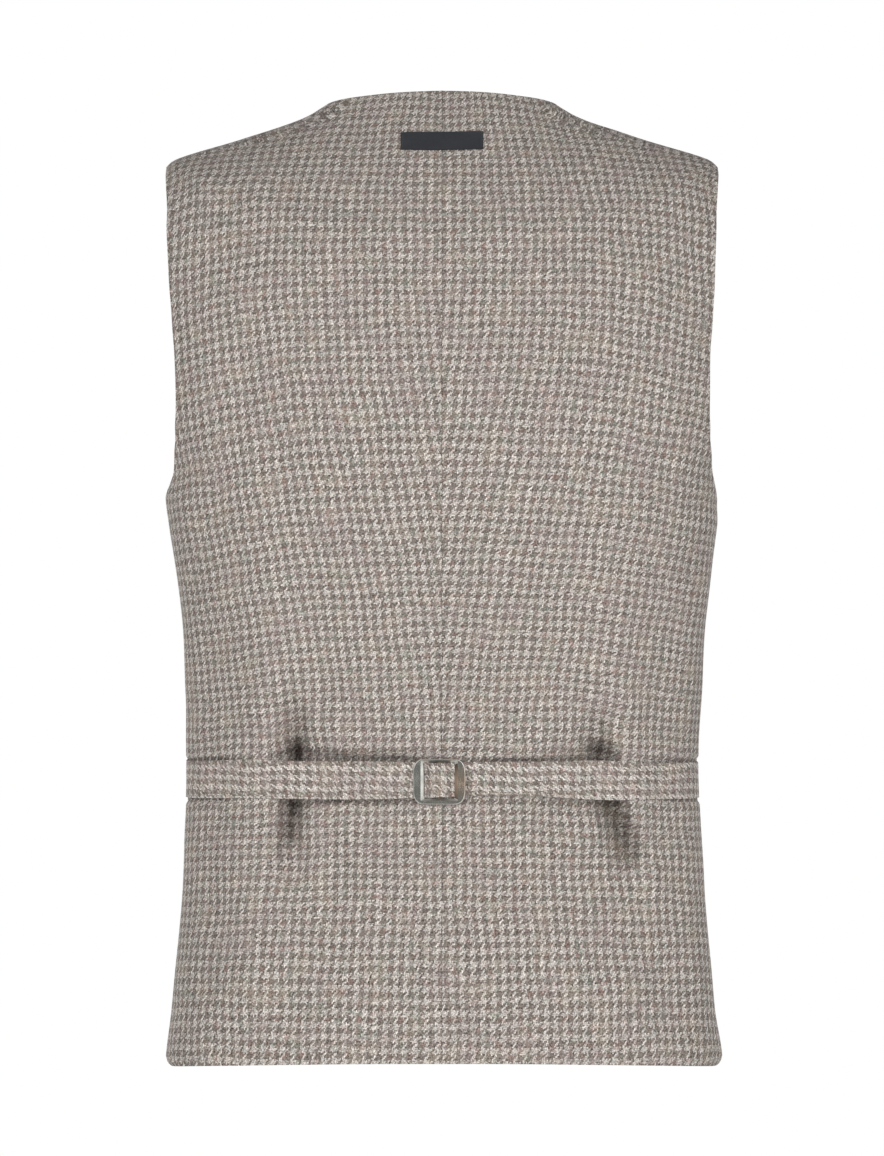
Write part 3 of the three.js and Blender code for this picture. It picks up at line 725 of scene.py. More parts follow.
def woolMaterial(name, light):  # houndstooth: four dark and four light yarns each way in a two and two twill
    material, tree, finish = newMaterial(
        name, 0.94, Specular_IOR_Level=0.15, Sheen_Weight=0.04, Sheen_Roughness=0.6)
    place = cutPlace(tree)

    def add(one, two):
        return calc(tree, "ADD", one, two)

    def less(one, two):
        return calc(tree, "SUBTRACT", one, two)

    def times(one, two):
        return calc(tree, "MULTIPLY", one, two)

    def whole(value, by):
        return calc(tree, "FLOOR", calc(tree, "DIVIDE", value, by))

    def rest(value, by):
        return calc(tree, "FLOORED_MODULO", value, by)

    def point(x, y, z=0.0):
        return put(tree, "ShaderNodeCombineXYZ", {0: x, 1: y, 2: z}).outputs[0]

    def threeNoises(scale, seed):
        colour = grain(tree, place, scale, 1.0, 0.5, seed).outputs["Color"]
        return put(tree, "ShaderNodeSeparateColor", {0: colour}).outputs

    wanderFine, wanderWide = threeNoises(0.42, 3.1), threeNoises(0.035, 9.7)
    split = put(tree, "ShaderNodeSeparateXYZ", {0: place}).outputs

    def yarnCount(axis, pitch):
        small = times(less(wanderFine[axis], 0.5), wool["wander"][0] * 2)
        wide = times(less(wanderWide[axis], 0.5), wool["wander"][1] * 2)
        return calc(tree, "DIVIDE", add(split[axis], add(small, wide)), pitch)

    warp, weft = yarnCount(0, wool["warpPitch"]), yarnCount(1, wool["weftPitch"])
    warpEnd, weftPick = calc(tree, "FLOOR", warp), calc(tree, "FLOOR", weft)
    warpIn, weftIn = calc(tree, "FRACT", warp), calc(tree, "FRACT", weft)
    warpOver = calc(tree, "LESS_THAN", rest(less(warpEnd, weftPick), 4.0), 1.5)
    half = wool["ends"] / 2 - 0.5
    repeat = float(wool["ends"])
    warpDark, weftDark = (calc(tree, "LESS_THAN", rest(yarn, repeat), half) for yarn in (warpEnd, weftPick))

    def either(one, two):  # one where the warp lies over, two where the weft does
        return put(tree, "ShaderNodeMix", {0: warpOver, 2: two, 3: one}).outputs[0]

    def crown(inYarn, alongFloat):  # round across the yarn and bowed along its float
        offCentre = less(inYarn, 0.5)
        across = less(1.0, times(times(offCentre, offCentre), 3.2))
        wrapped = less(rest(add(alongFloat, 2.0), 4.0), 2.0)
        return times(across, less(1.0, times(times(wrapped, wrapped), 0.55)))

    warpCrown = crown(warpIn, less(warpEnd, weft))
    weftCrown = crown(weftIn, less(less(warp, weftPick), 3.0))
    height = either(add(warpCrown, 0.35), weftCrown)
    dark = either(warpDark, times(weftDark, wool["weftDark"]))

    floatAcross = either(warpEnd, whole(less(less(warp, weftPick), 1.0), 4.0))
    floatUp = either(whole(less(add(weft, 1.0), warpEnd), 4.0), weftPick)
    floatKey = point(floatAcross, floatUp, warpOver)
    yarnKey = point(either(warpEnd, times(warp, 0.07)), either(times(weft, 0.06), weftPick), warpOver)
    slantKey = point(times(less(warp, weft), 0.52), times(add(warp, weft), 0.13))
    fibre = grain(tree, place, 0.98, 2.0, 0.6, 1.3).outputs[0]
    values = {
        "slub": grain(tree, yarnKey, 0.9, 2.0, 0.6, 5.0).outputs[0],
        "fibre": fibre,
        "eachFloat": put(tree, "ShaderNodeTexWhiteNoise", {0: floatKey}, noise_dimensions="3D").outputs[0],
        "streak": grain(tree, yarnKey, 0.16, 1.0, 0.5, 8.0).outputs[0],
        "slant": grain(tree, slantKey, 1.0, 1.0, 0.5, 12.0).outputs[0],  # fibres combed along the twill
    }
    # light is a brightness factor for the whole cloth; above 1 it is painted light
    tone = light
    for key, (reach, low, high) in wool["tones"].items():
        tone = add(tone, spread(tree, values[key], -reach, reach, low, high))
    # painted shade: the random tone times the ribbon shade times the yarns' crown height, so the gaps between
    # floats are painted darker and the crowns lighter
    toneAndPaintedShade = times(times(tone, either(*wool["paintedRibbonShade"])), spread(tree, height, 0.7, 1.06, 0.1, 1.1))

    colour = mixed(tree, dark, wool["light"], wool["dark"])
    fleck, patch = threeNoises(0.20, 17.0), threeNoises(0.06, 31.0)
    for noise, (tint, most, low, high) in zip((*fleck[:2], *patch[:2]), wool["flecks"]):
        colour = mixed(tree, spread(tree, noise, 0, most, low, high), colour, wool[tint])
    grey = put(tree, "ShaderNodeCombineColor", {0: toneAndPaintedShade, 1: toneAndPaintedShade, 2: toneAndPaintedShade}).outputs[0]
    colour = mixed(tree, 1.0, colour, grey, "MULTIPLY")
    tree.links.new(colour, finish.inputs["Base Color"])
    tree.links.new(spread(tree, fibre, 0.86, 1.0), finish.inputs["Roughness"])
    bumped(tree, finish, 0.8, wool["relief"] * millimetre, add(height, times(fibre, 0.5)))
    return material


# the strap's copy of the wool is painted 6% lighter than the back's: painted light
woolCloth, strapClothPaintedLighter = woolMaterial("houndstoothWool", 1.0), woolMaterial("houndstoothStrapPaintedLighter", 1.06)
print("wool ready")


# Back and front panels
def panel(name, side, place, last, isFront):
    coarseRows, coarseColumns = panelRows(last, cut["flatStep"]), np.linspace(0, 1, cut["flatColumns"])
    rowGrid = coarseRows[:, None] * np.ones((1, cut["flatColumns"]))
    up, turn = place(rowGrid, coarseColumns[None, :] * np.ones_like(rowGrid))
    lift = frontLift(side, up, turn) if isFront else 0.0
    coarse, outward = clothFace(side, up, turn, lift, False)
    line = coarse[:, 0]
    along = pathLengths(line)
    along = along - np.interp(cut["waist"], up[:, 0], along)
    straight = np.ones(len(line), bool)
    if isFront:
        foot, head = front["cutAwayTop"] + front["straightIn"], front["vFoot"] - front["straightIn"]
        straight = (line[:, 2] > foot) & (line[:, 2] < head)
    pinned = np.zeros(coarse.shape[:2], bool)
    pinned[straight, 0] = True
    edge = np.full(straight.sum(), float(-front["overlap"] if isFront else 0))
    flat = flatCut(coarse, side * coarse[:, 0, 0], pinned, np.stack((edge, along[straight]), axis=-1))

    rows, across = panelGrid(place, last)
    up, turn = place(rows, across)
    lift = frontLift(side, up, turn) if isFront else 0.0
    points, outward = clothFace(side, up, turn, lift)
    if not isFront:  # the steep walls of a pocket keep the wall's direction of the cloth around it
        outward = clothFace(side, up, turn, lift, False)[1]

    def kind(name, a, b, c, d):
        row = (rows[a, b] + rows[c, d]) / 2
        if name == "end":
            return "fold" if 3 < row < 4 else "seam"
        if isFront:
            return "seam" if name == "head" else "fold"
        return "seam" if name == "start" else "fold"

    radii = {"fold": cut["foldRadius"], "seam": cut["seamRadius"]}
    outer, inner = roundedEdges(points, outward, cut["wall"], kind, radii)
    cloth = flatBetween(coarseRows, coarseColumns, flat, rows, across)
    if not isFront:
        cloth = yarnPlaces(cloth)
    mirror = side if isFront else -side
    piece = wallMesh(name, outer, inner, cloth * (mirror, 1), woolCloth)
    size = np.ptp(flat.reshape(-1, 2), axis=0) * millimetre
    area, made = gridArea(flat) * millimetre**2, gridArea(coarse) * millimetre**2
    print(name, "flat cut", size.round(3), "area", round(area, 4), "cloth", round(made, 4))
    return piece, tuple(float(s) for s in size), area


panels = {}
for side, hand in ((1, "left"), (-1, "right")):
    for region, place, last in (("back", backPlace, 5), ("front", frontPlace, 4)):
        node = f"{region}_{hand}"
        panels[node] = panel(f"{region}{hand.title()}Panel", side, place, last, region == "front")
for node, (piece, size, area) in panels.items():
    standsFor(piece, node)
print("panels sewn")

# Waist strap: two halves folded from the same cloth with the grain turned, and laid through the buckle
buckle = {
    "width": 32.2, "height": 27.9, "wall": 1.6, "bar": 6.7, "topBar": 2.0, "bottomBar": 3.5, "centreBar": 3.0,
    "corner": 6.5, "cornerRise": 8.5, "play": 0.35, "centreX": 1.6, "rise": 1.4,
    "chamfer": 2.1, "chamferUp": 1.3, "chamferDown": 1.4,
    # the spot, in millimetres, where a painted warm reflection sits on the buckle, and from how near to how
    # far, in metres, it fades
    "barRadius": (0.55, 0.6), "barSides": 16,  # half the bar's height, and how high its middle lies
    "paintedReflection": (-11.5, 83, -398.5), "paintedReflectionSpread": (0.002, 0.012), "sharpFrom": 20,
}
layerStep = strap["wall"] + cut["seamGap"]
leftBarHeight = cut["seamGap"] + layerStep + buckle["play"]
rightBarHeight = cut["seamGap"] + 2 * layerStep + buckle["play"]
centreBarHeight = (leftBarHeight + rightBarHeight) / 2
overBarHeight = centreBarHeight + buckle["wall"] + cut["seamGap"]
window = buckle["width"] / 2 - buckle["bar"]
underTail = cut["seamGap"] + layerStep
running = (  # x from the buckle's middle and height of the strap's under side, from the left bar to the tail
    (1 - buckle["width"] / 2, underTail), (0.4 - window, underTail),
    (-buckle["centreBar"] / 2 - 1.4, overBarHeight), (buckle["centreBar"] / 2 + 1.4, overBarHeight),
    (window + 0.2, cut["seamGap"]), (buckle["width"] / 2 + 1, cut["seamGap"]),
)


def strapHeight(side, up, turn):  # over the cloth, bridging its troughs
    sunk = strapSeat["depth"] * smooth(strapSeat["from"], strapSeat["full"], formPoint(up, turn)[..., 0])
    return np.maximum(drapeAt(side, up, turn), -sunk) + cut["seamGap"]


def throughBuckle(x):  # height on the running half, eased from knot to knot
    height = np.full(np.shape(x), float(running[0][1]))
    for (fromX, low), (toX, high) in zip(running, running[1:]):
        height = np.where(x >= fromX, blend(low, high, smooth(fromX, toX, x)), height)
    return height


def strapHalf(name, side):
    low, high = stretchUps[1], stretchUps[2]
    ups = edgeSpaced(low, high, strap["rows"], strap["edgeSteps"])
    middleUp = (low + high) / 2
    edgeTurn = float(turnShortOf(middleUp, cut["seamTurn"], cut["seamGap"] / 2))
    knotX = buckle["centreX"] * side + buckle["width"] / 2 + strap["knotOut"]
    endX = buckle["centreX"] + running[0][0] if side > 0 else -buckle["centreX"]
    atKnot = float(turnAtBreadth(middleUp, knotX))
    around = np.linspace(edgeTurn, atKnot, strap["columns"])[:-1]
    across = np.arange(knotX, endX + 1.9, -strap["acrossStep"])
    across = np.concatenate((across, [endX + step for step in strap["endSteps"]], (endX,)))
    up = ups[:, None] * np.ones((1, len(around) + len(across)))
    turn = np.ones((len(ups), 1)) * around[None, :]
    turn = np.concatenate((turn, turnAtBreadth(ups[:, None], across[None, :])), axis=1)
    x = formPoint(up, turn)[..., 0] * side
    atX, foot, head = zip(*strap["uneven"])
    offs = strap["sampleOffs"]
    footRise = sum(np.interp(x + off, atX, foot) for off in offs) / len(offs)
    headRise = sum(np.interp(x + off, atX, head) for off in offs) / len(offs)
    up = up + blend(footRise, headRise, (ups[:, None] - low) / (high - low))
    height = strapHeight(side, up, turn)
    if side > 0:
        height = np.where(x < knotX, throughBuckle(x - buckle["centreX"]), height)
    fromFoot = ups[:, None] - low
    puckered = 0.7 + 0.3 * np.sin(x / 1.3) * np.sin(x / 4.1)
    drawn = 0.25 + 0.5 * smooth(16, 30, x) * smooth(122, 92, x) * puckered  # drawn in more on the left
    groove = (bell(fromFoot - strap["stitchIn"], 0.38) - 0.4 * bell(fromFoot - 0.5, 0.4)) * drawn
    crease = bell(ups[:, None] - high + 1.2, 0.9) * 0.12
    height = height + strap["wall"] - (groove + crease) * smooth(knotX - 2, knotX + 6, np.abs(x))

    points = liftedPoint(side, up, turn, height)
    rise, along = np.gradient(points, axis=0), np.gradient(points, axis=1)
    outward = unit(np.cross(along, rise) * side)
    radii = {"fold": strap["wall"] / 2}
    outer, inner = roundedEdges(points, outward, strap["wall"], lambda *edge: "fold", radii)
    run = pathLengths(points[len(ups) // 2]) * -side
    flat = np.stack((up - low + strap["checkRise"], np.ones_like(up) * run[None, :]), axis=-1)
    piece = wallMesh(name, outer, inner, flat, strapClothPaintedLighter)
    row = int(np.argmin(np.abs(ups - low - strap["stitchIn"])))
    keep = np.abs(x[row]) > knotX + 1
    return piece, (float(np.ptp(run)), strap["height"]), outer[row][keep], outward[row][keep]


strapHalves, strapSizes, strapSeams = {}, {}, []
for side, hand in ((1, "left"), (-1, "right")):
    piece, size, seam, seamOut = strapHalf(f"strap{hand.title()}Half", side)
    strapHalves[hand], strapSizes[hand] = piece, size
    strapSeams.append((seam, seamOut))
    standsFor(piece, f"strap_{hand}")
print("strap laid")


def meshPiece(name, vertices, faces, materials, angle=None, kinds=None):  # millimetres in
    mesh = bpy.data.meshes.new(name)
    mesh.from_pydata((np.asarray(vertices) * millimetre).tolist(), [], faces)
    mesh.polygons.foreach_set("use_smooth", np.ones(len(mesh.polygons), bool))
    if angle:
        mesh.set_sharp_from_angle(angle=math.radians(angle))
    for material in materials:
        mesh.materials.append(material)
    if kinds is not None:
        mesh.polygons.foreach_set("material_index", np.asarray(kinds, np.int32))
    mesh.update()
    return linked(name, mesh)


def loopedFaces(loops, count, start=0, closed=True):  # quads between one loop of points and the next
    faces = []
    for k in range(loops if closed else loops - 1):
        low, high = start + k * count, start + (k + 1) % loops * count
        faces.extend((low + i, low + (i + 1) % count, high + (i + 1) % count, high + i) for i in range(count))
    return faces


# Slide buckle: a frame with bowed ends and a bevelled window, and the bar that the strap goes over
def nickelMaterial(name, one, two, smoothest, roughest):
    material, tree, finish = newMaterial(name, smoothest, 1.0)
    place = put(tree, "ShaderNodeTexCoord").outputs["Object"]
    smudge = put(tree, "ShaderNodeTexNoise", {"Vector": place, "Scale": 140.0, "Detail": 3.0}).outputs[0]
    scratch = put(tree, "ShaderNodeMapping", {0: place, 2: (0, 0.4, 0.2), 3: (3000, 3000, 240)}).outputs[0]
    scratch = put(tree, "ShaderNodeTexNoise", {"Vector": scratch, "Scale": 1.0, "Detail": 2.0}).outputs[0]
    tone = mixed(tree, spread(tree, smudge, 0, 1, 0.35, 0.65), one, two)
    paintedReflection = tuple(c * millimetre for c in buckle["paintedReflection"])
    fromPaintedReflection = put(tree, "ShaderNodeVectorMath", {0: place, 1: paintedReflection}, operation="DISTANCE").outputs[1]
    paintedReflectionShare = spread(tree, fromPaintedReflection, 0.7, 0, *buckle["paintedReflectionSpread"])  # painted reflection: a warm room painted into the base colour as a warm patch about one spot
    tone = mixed(tree, paintedReflectionShare, tone, paint(216, 190, 168))
    tree.links.new(tone, finish.inputs["Base Color"])
    smudged = spread(tree, smudge, smoothest, roughest, 0.3, 0.7)
    rough = calc(tree, "ADD", smudged, spread(tree, scratch, 0, 0.04, 0.4, 0.7))
    tree.links.new(rough, finish.inputs["Roughness"])
    return material


def roundedLoop(halfWidth, halfHeight, acrossCorner, upCorner, corner=9, edge=5):
    points = []
    quarters = ((1, -1), (1, 1), (-1, 1), (-1, -1))
    for k, (sx, sy) in enumerate(quarters):
        bendFrom = (sx * halfWidth, sy * (halfHeight - upCorner))
        bendTo = (sx * (halfWidth - acrossCorner), sy * halfHeight)
        if k % 2 == 0:
            bendFrom, bendTo = bendTo, bendFrom
        tip = (sx * halfWidth, sy * halfHeight)
        for share in np.linspace(0, 1, corner):
            one, two = np.array(bendFrom), np.array(bendTo)
            points.append(one * (1 - share) ** 2 + np.array(tip) * 2 * share * (1 - share) + two * share**2)
        nextX, nextY = quarters[(k + 1) % 4]
        follow = (nextX * (halfWidth - acrossCorner), nextY * halfHeight)
        if k % 2 == 0:
            follow = (nextX * halfWidth, nextY * (halfHeight - upCorner))
        for share in np.linspace(0, 1, edge + 1)[1:-1]:  # each from the last point
            points.append(blend(points[-1], np.array(follow), share))
    return np.array(points)


def buckleFrame():
    b = buckle
    middleRise = (b["bottomBar"] - b["topBar"]) / 2
    halfWindow = (window, (b["height"] - b["topBar"] - b["bottomBar"]) / 2)
    profile = (  # how far in from the outer edge, or out from the window, and the height
        ("outer", 0.0, 0.45), ("outer", 0.0, b["wall"] - 0.5), ("outer", 0.14, b["wall"] - 0.16),
        ("outer", 0.42, b["wall"]), ("window", b["chamfer"], b["wall"]),
        ("window", 0.0, b["wall"] - b["chamferDown"]), ("window", 0.0, 0.1), ("window", 0.25, 0.0),
        ("outer", 0.4, 0.0), ("outer", 0.1, 0.15),
    )
    rings = []
    for kind, inset, height in profile:
        if kind == "outer":
            ring = roundedLoop(b["width"] / 2 - inset, b["height"] / 2 - inset, b["corner"], b["cornerRise"])
            ring = ring - (0, middleRise)
        else:
            tall, corner = min(inset, b["chamferUp"]), 0.5 + inset * 0.2
            ring = roundedLoop(halfWindow[0] + inset, halfWindow[1] + tall, corner, corner)
        rings.append(np.column_stack((ring, np.full(len(ring), height))))
    count = len(rings[0])
    vertices, faces = np.concatenate(rings), loopedFaces(len(rings), count)
    kinds = []  # the rim and the upper and lower bevels are worn; the bevel at the wearer's right is painted dark, as painted shade
    for k in range(len(rings)):
        for i in range(count):
            x, y = (rings[k][i] + rings[k][(i + 1) % count])[:2] / 2
            kinds.append((1 if abs(y) > abs(x) * 0.95 else 2 if x > 0 else 0) if k == 4 else int(k in (1, 2)))
    bar, sides = [], b["barSides"]  # rounded bar across the window, under the strap
    radius, middle = b["barRadius"]
    for y in (-halfWindow[1] - 0.3, halfWindow[1] + 0.3):
        for angle in np.linspace(0, 2 * np.pi, sides + 1)[:-1]:
            bar.append((b["centreBar"] / 2 * math.cos(angle), y, middle + radius * math.sin(angle)))
    first = len(vertices)
    faces += [(a, d, c, b) for a, b, c, d in loopedFaces(2, sides, first, False)]
    foot, head = range(first, first + sides), range(first + sides, first + 2 * sides)
    faces += [tuple(foot), tuple(reversed(head))]
    # the bar under the strap takes the dark nickel too: painted shade
    return np.concatenate((vertices, bar)), faces, kinds + [2] * (sides + 2)


buckleTurn = turnAtBreadth(strapMiddleUp, buckle["centreX"])
buckleMiddle = liftedPoint(1, strapMiddleUp + buckle["rise"], buckleTurn, centreBarHeight)
print("buckle at", buckleMiddle.round(1))
tilt = math.atan((rightBarHeight - leftBarHeight) / (buckle["width"] - buckle["bar"]))
buckleAxes = np.array(((-math.cos(tilt), math.sin(tilt), 0), (0, 0, 1), (math.sin(tilt), math.cos(tilt), 0)))
bucklePoints, buckleFaces, buckleKinds = buckleFrame()
nickels = (
    nickelMaterial("polishedNickel", paint(174, 176, 169), paint(160, 160, 155), 0.07, 0.13),
    nickelMaterial("wornNickelRim", paint(224, 222, 216), paint(200, 198, 192), 0.42, 0.55),
    # dark, rough nickel whose colour is painted shade, for the bevel at the wearer's right and the bar
    nickelMaterial("paintedShadeNickel", paint(118, 108, 96), paint(92, 82, 72), 0.5, 0.65),
)
bucklePoints = bucklePoints @ buckleAxes + buckleMiddle
bucklePiece = meshPiece("strapBuckle", bucklePoints, buckleFaces, nickels, buckle["sharpFrom"], buckleKinds)
standsFor(bucklePiece, "buckle")
print("buckle cast")


# Bare woven label on the centre-back seam
label = {
    "width": 51, "height": 14.6, "wall": 0.7, "lift": 0.45, "centreZ": -2.6, "tilt": 0.022,
    "edgeSteps": (0.08, 0.25, 0.6), "rows": 10, "columns": 34, "ribs": 0.42, "ends": 0.3,
    "sewnIn": 24.2, "sewnShort": 0.7,  # from the middle to each row of stitches, and how far short that stops
}


def labelMaterial():
    material, tree, finish = newMaterial("navyLabelWeave", 0.66, Sheen_Weight=0.16, Sheen_Roughness=0.4)
    place = cutPlace(tree)
    split = put(tree, "ShaderNodeSeparateXYZ", {0: place})
    ribs = calc(tree, "SINE", calc(tree, "MULTIPLY", split.outputs[1], 2 * math.pi / label["ribs"]))
    ends = calc(tree, "SINE", calc(tree, "MULTIPLY", split.outputs[0], 2 * math.pi / label["ends"]))
    crossed = calc(tree, "MULTIPLY", calc(tree, "MULTIPLY", ribs, ends), 0.4)
    weave = calc(tree, "ADD", calc(tree, "MULTIPLY", ribs, 0.6), crossed)
    cloud = grain(tree, place, 0.22, 3.0, 0.6, 4.0).outputs[0]
    colour = mixed(tree, spread(tree, weave, 0, 1, -1, 1), paint(17, 19, 26), paint(36, 39, 48))
    colour = mixed(tree, spread(tree, cloud, 0, 0.5, 0.35, 0.7), colour, paint(33, 36, 47))
    tree.links.new(colour, finish.inputs["Base Color"])
    bumped(tree, finish, 0.7, 0.12 * millimetre, weave)
    return material


def labelPiece():
    atMiddle = solve(cut["shoulderTip"], cut["neck"], lambda up: formPoint(up, 0)[..., 2] > label["centreZ"])
    halfHeight, halfWidth = label["height"] / 2, label["width"] / 2
    ups = edgeSpaced(-halfHeight, halfHeight, label["rows"], label["edgeSteps"])[:, None]
    xs = edgeSpaced(-halfWidth, halfWidth, label["columns"], label["edgeSteps"])[None, :]
    wavy = 0.25 * np.sin(xs / 9 + 1) * smooth(4, halfHeight, np.abs(ups))
    up = float(atMiddle) + ups - label["tilt"] * xs + wavy
    turn = turnAtBreadth(up, xs * np.ones_like(up))
    pucker = 0.16 * np.sin(xs / 5.3) * np.sin(ups / 3.1 + 0.8) + 0.22 * bell(np.abs(xs) - 21, 2.0)
    laid = np.maximum(drapeAt(1, up, np.abs(turn)), 0)
    points = liftedPoint(1, up, turn, laid + label["lift"] + label["wall"] + pucker)
    outward = outwardOf(formPoint, up, turn)
    radii = {"fold": label["wall"] / 2}
    outer, inner = roundedEdges(points, outward, label["wall"], lambda *edge: "fold", radii)
    flat = np.stack((-xs * np.ones_like(up), ups * np.ones_like(up)), axis=-1)
    return wallMesh("wovenLabel", outer, inner, flat, labelMaterial()), outer, outward, ups[:, 0], xs[0]


labelCloth, labelOuter, labelOut, labelUps, labelXs = labelPiece()
standsFor(labelCloth, "label")
print("label laid")


# Horn buttons, each with four holes, down the centre front
button = {
    "count": 5, "topZ": -252, "pitch": 68, "radius": 7.6, "wall": 3.2, "rim": 1.1, "dish": 0.9, "lift": 0.45,
    "hole": 0.85, "holeOut": 1.65, "holeDepth": 1.5, "sides": 56,
    "twist": 7,  # degrees that one is sewn on out of true, at most
}


def hornMaterial():
    material, tree, finish = newMaterial("brownHorn", 0.28, Coat_Weight=0.25, Coat_Roughness=0.12)
    place = put(tree, "ShaderNodeTexCoord").outputs["Object"]
    drawn = put(tree, "ShaderNodeMapping", {0: place, 2: (0, 0.5, 0.3), 3: (60, 60, 420)}).outputs[0]
    streak = put(tree, "ShaderNodeTexNoise", {
        "Vector": drawn, "Scale": 1.0, "Detail": 4.0, "Distortion": 1.2}).outputs[0]
    cloud = put(tree, "ShaderNodeTexNoise", {"Vector": place, "Scale": 90.0, "Detail": 2.0}).outputs[0]
    colour = mixed(tree, spread(tree, streak, 0, 1, 0.35, 0.68), paint(58, 43, 34), paint(126, 98, 76))
    colour = mixed(tree, spread(tree, cloud, 0, 0.6, 0.45, 0.7), colour, paint(84, 66, 54))
    tree.links.new(colour, finish.inputs["Base Color"])
    tree.links.new(spread(tree, streak, 0.22, 0.38), finish.inputs["Roughness"])
    return material


def buttonForm():  # rings of points from the back's middle, round the rim, to the face's middle
    radius, wall, rim, dish, sides = (button[key] for key in ("radius", "wall", "rim", "dish", "sides"))
    face, inside = wall - dish, radius - rim * 2.75
    outline = [(0.4, 0.0), (radius - rim - 0.5, 0.0), (radius - rim, 0.08)]
    for angle in np.linspace(0.3, math.pi / 2, 5):
        outline.append((radius - rim * (1 - math.sin(angle)), wall * 0.45 * (1 - math.cos(angle)) + 0.05))
    outline += [
        (radius - 0.05, wall * 0.62), (radius - rim * 0.25, wall * 0.88), (radius - rim * 0.62, wall * 0.985),
        (radius - rim * 1.05, wall), (radius - rim * 1.5, wall * 0.985),
        (radius - rim * 1.95, wall - dish * 0.45), (radius - rim * 2.35, face + 0.12), (inside, face),
    ]
    outline += [(r, face) for r in np.linspace(inside - 0.3, 0.18, 20)]
    holes = [(x * button["holeOut"], y * button["holeOut"]) for x in (-1, 1) for y in (-1, 1)]
    vertices = []
    for r, z in outline:
        for k in range(sides):
            angle = 2 * math.pi * k / sides
            x, y = r * math.cos(angle), r * math.sin(angle)
            drop = 0.0
            if r < radius - rim * 2.7 and z > wall * 0.5:
                near = min(math.hypot(x - holeX, y - holeY) for holeX, holeY in holes)
                drop = button["holeDepth"] * float(smooth(button["hole"] + 0.18, button["hole"] - 0.12, near))
            vertices.append((x, y, z - drop))
    faces = loopedFaces(len(outline), sides, closed=False)
    faces += [tuple(reversed(range(sides))), tuple((len(outline) - 1) * sides + k for k in range(sides))]
    return np.array(vertices), faces


def axesOf(outward):  # across, up along the garment, and out
    outward = unit(np.asarray(outward))
    across = unit(np.cross((0, 0, 1), outward))
    return np.array((across, np.cross(outward, across), outward))


horn = hornMaterial()
buttonPoints, buttonFaces = buttonForm()
buttonPlaces = []
for k in range(button["count"]):
    z = button["topZ"] - k * button["pitch"]
    up = float(solve(0, cut["underarm"], lambda at: formPoint(at, 180.0)[..., 2] > z))
    middle = liftedPoint(1, up, 180.0, cut["wall"] + front["overlapGap"] + button["lift"])
    axes = axesOf(outwardOf(formPoint, np.array(up), np.array(180.0)))
    turned = math.radians(button["twist"] * math.sin(k * 2.3))
    cosine, sine = math.cos(turned), math.sin(turned)
    spin = np.array(((cosine, sine, 0), (-sine, cosine, 0), (0, 0, 1)))
    piece = meshPiece(f"hornButton{k + 1}", buttonPoints @ spin @ axes + middle, buttonFaces, (horn,), 50)
    standsFor(piece, f"button_{k + 1}")
    buttonPlaces.append((middle, spin @ axes, axes, up))
print("buttons turned")


# Sewing: each stitch is an instance on a point that says which way it lies, how long it is and what is out
def threadMaterial(name, one, two):
    material, tree, finish = newMaterial(name, 0.75, Sheen_Weight=0.3)
    place = put(tree, "ShaderNodeTexCoord").outputs["Object"]
    speck = put(tree, "ShaderNodeTexNoise", {"Vector": place, "Scale": 900.0, "Detail": 2.0}).outputs[0]
    tree.links.new(mixed(tree, spread(tree, speck, 0, 1, 0.35, 0.65), one, two), finish.inputs["Base Color"])
    bumped(tree, finish, 0.5, 0.08 * millimetre, speck)
    return material


def stitchTree():
    tree = bpy.data.node_groups.new("stitches", "GeometryNodeTree")
    sockets = {
        "Points": "Geometry", "Thread Radius": "Float", "Flatness": "Float", "Uneven": "Float", "Seed": "Int",
        "Finish": "Material",
    }
    ids = {}
    for name, kind in sockets.items():
        socket = tree.interface.new_socket(name=name, in_out="INPUT", socket_type="NodeSocket" + kind)
        ids[name] = socket.identifier
    tree.interface.new_socket(name="Stitches", in_out="OUTPUT", socket_type="NodeSocketGeometry")
    given = put(tree, "NodeGroupInput").outputs

    def named(name, kind):
        return put(tree, "GeometryNodeInputNamedAttribute", {"Name": name}, data_type=kind).outputs[0]

    along, out = named("along", "FLOAT_VECTOR"), named("out", "FLOAT_VECTOR")
    length = named("length", "FLOAT")
    ball = put(tree, "GeometryNodeMeshUVSphere", {"Segments": 8, "Rings": 6, "Radius": 1.0}).outputs[0]
    ball = put(tree, "GeometryNodeSetShadeSmooth", {"Geometry": ball}).outputs[0]
    points = put(tree, "GeometryNodeMeshToPoints", {"Mesh": given["Points"]}).outputs[0]
    align = "FunctionNodeAlignRotationToVector"
    upright = put(tree, align, {"Vector": out}, axis="Z", pivot_axis="AUTO").outputs[0]
    laid = put(tree, align, {"Rotation": upright, "Vector": along}, axis="X", pivot_axis="Z").outputs[0]
    spare = calc(tree, "SUBTRACT", 1.0, given["Uneven"])
    more = calc(tree, "ADD", 1.0, given["Uneven"])
    chance = put(tree, "FunctionNodeRandomValue", {
        2: spare, 3: more, "Seed": given["Seed"]}, data_type="FLOAT").outputs[1]
    half = calc(tree, "MULTIPLY", calc(tree, "MULTIPLY", length, 0.5), chance)
    low = calc(tree, "MULTIPLY", given["Thread Radius"], given["Flatness"])
    size = put(tree, "ShaderNodeCombineXYZ", {0: half, 1: given["Thread Radius"], 2: low}).outputs[0]
    laidOut = put(tree, "GeometryNodeInstanceOnPoints", {
        "Points": points, "Instance": ball, "Rotation": laid, "Scale": size}).outputs[0]
    real = put(tree, "GeometryNodeRealizeInstances", {"Geometry": laidOut}).outputs[0]
    done = put(tree, "GeometryNodeSetMaterial", {"Geometry": real, "Material": given["Finish"]}).outputs[0]
    put(tree, "NodeGroupOutput", {"Stitches": done})
    return tree, ids


stitching, stitchInputs = stitchTree()


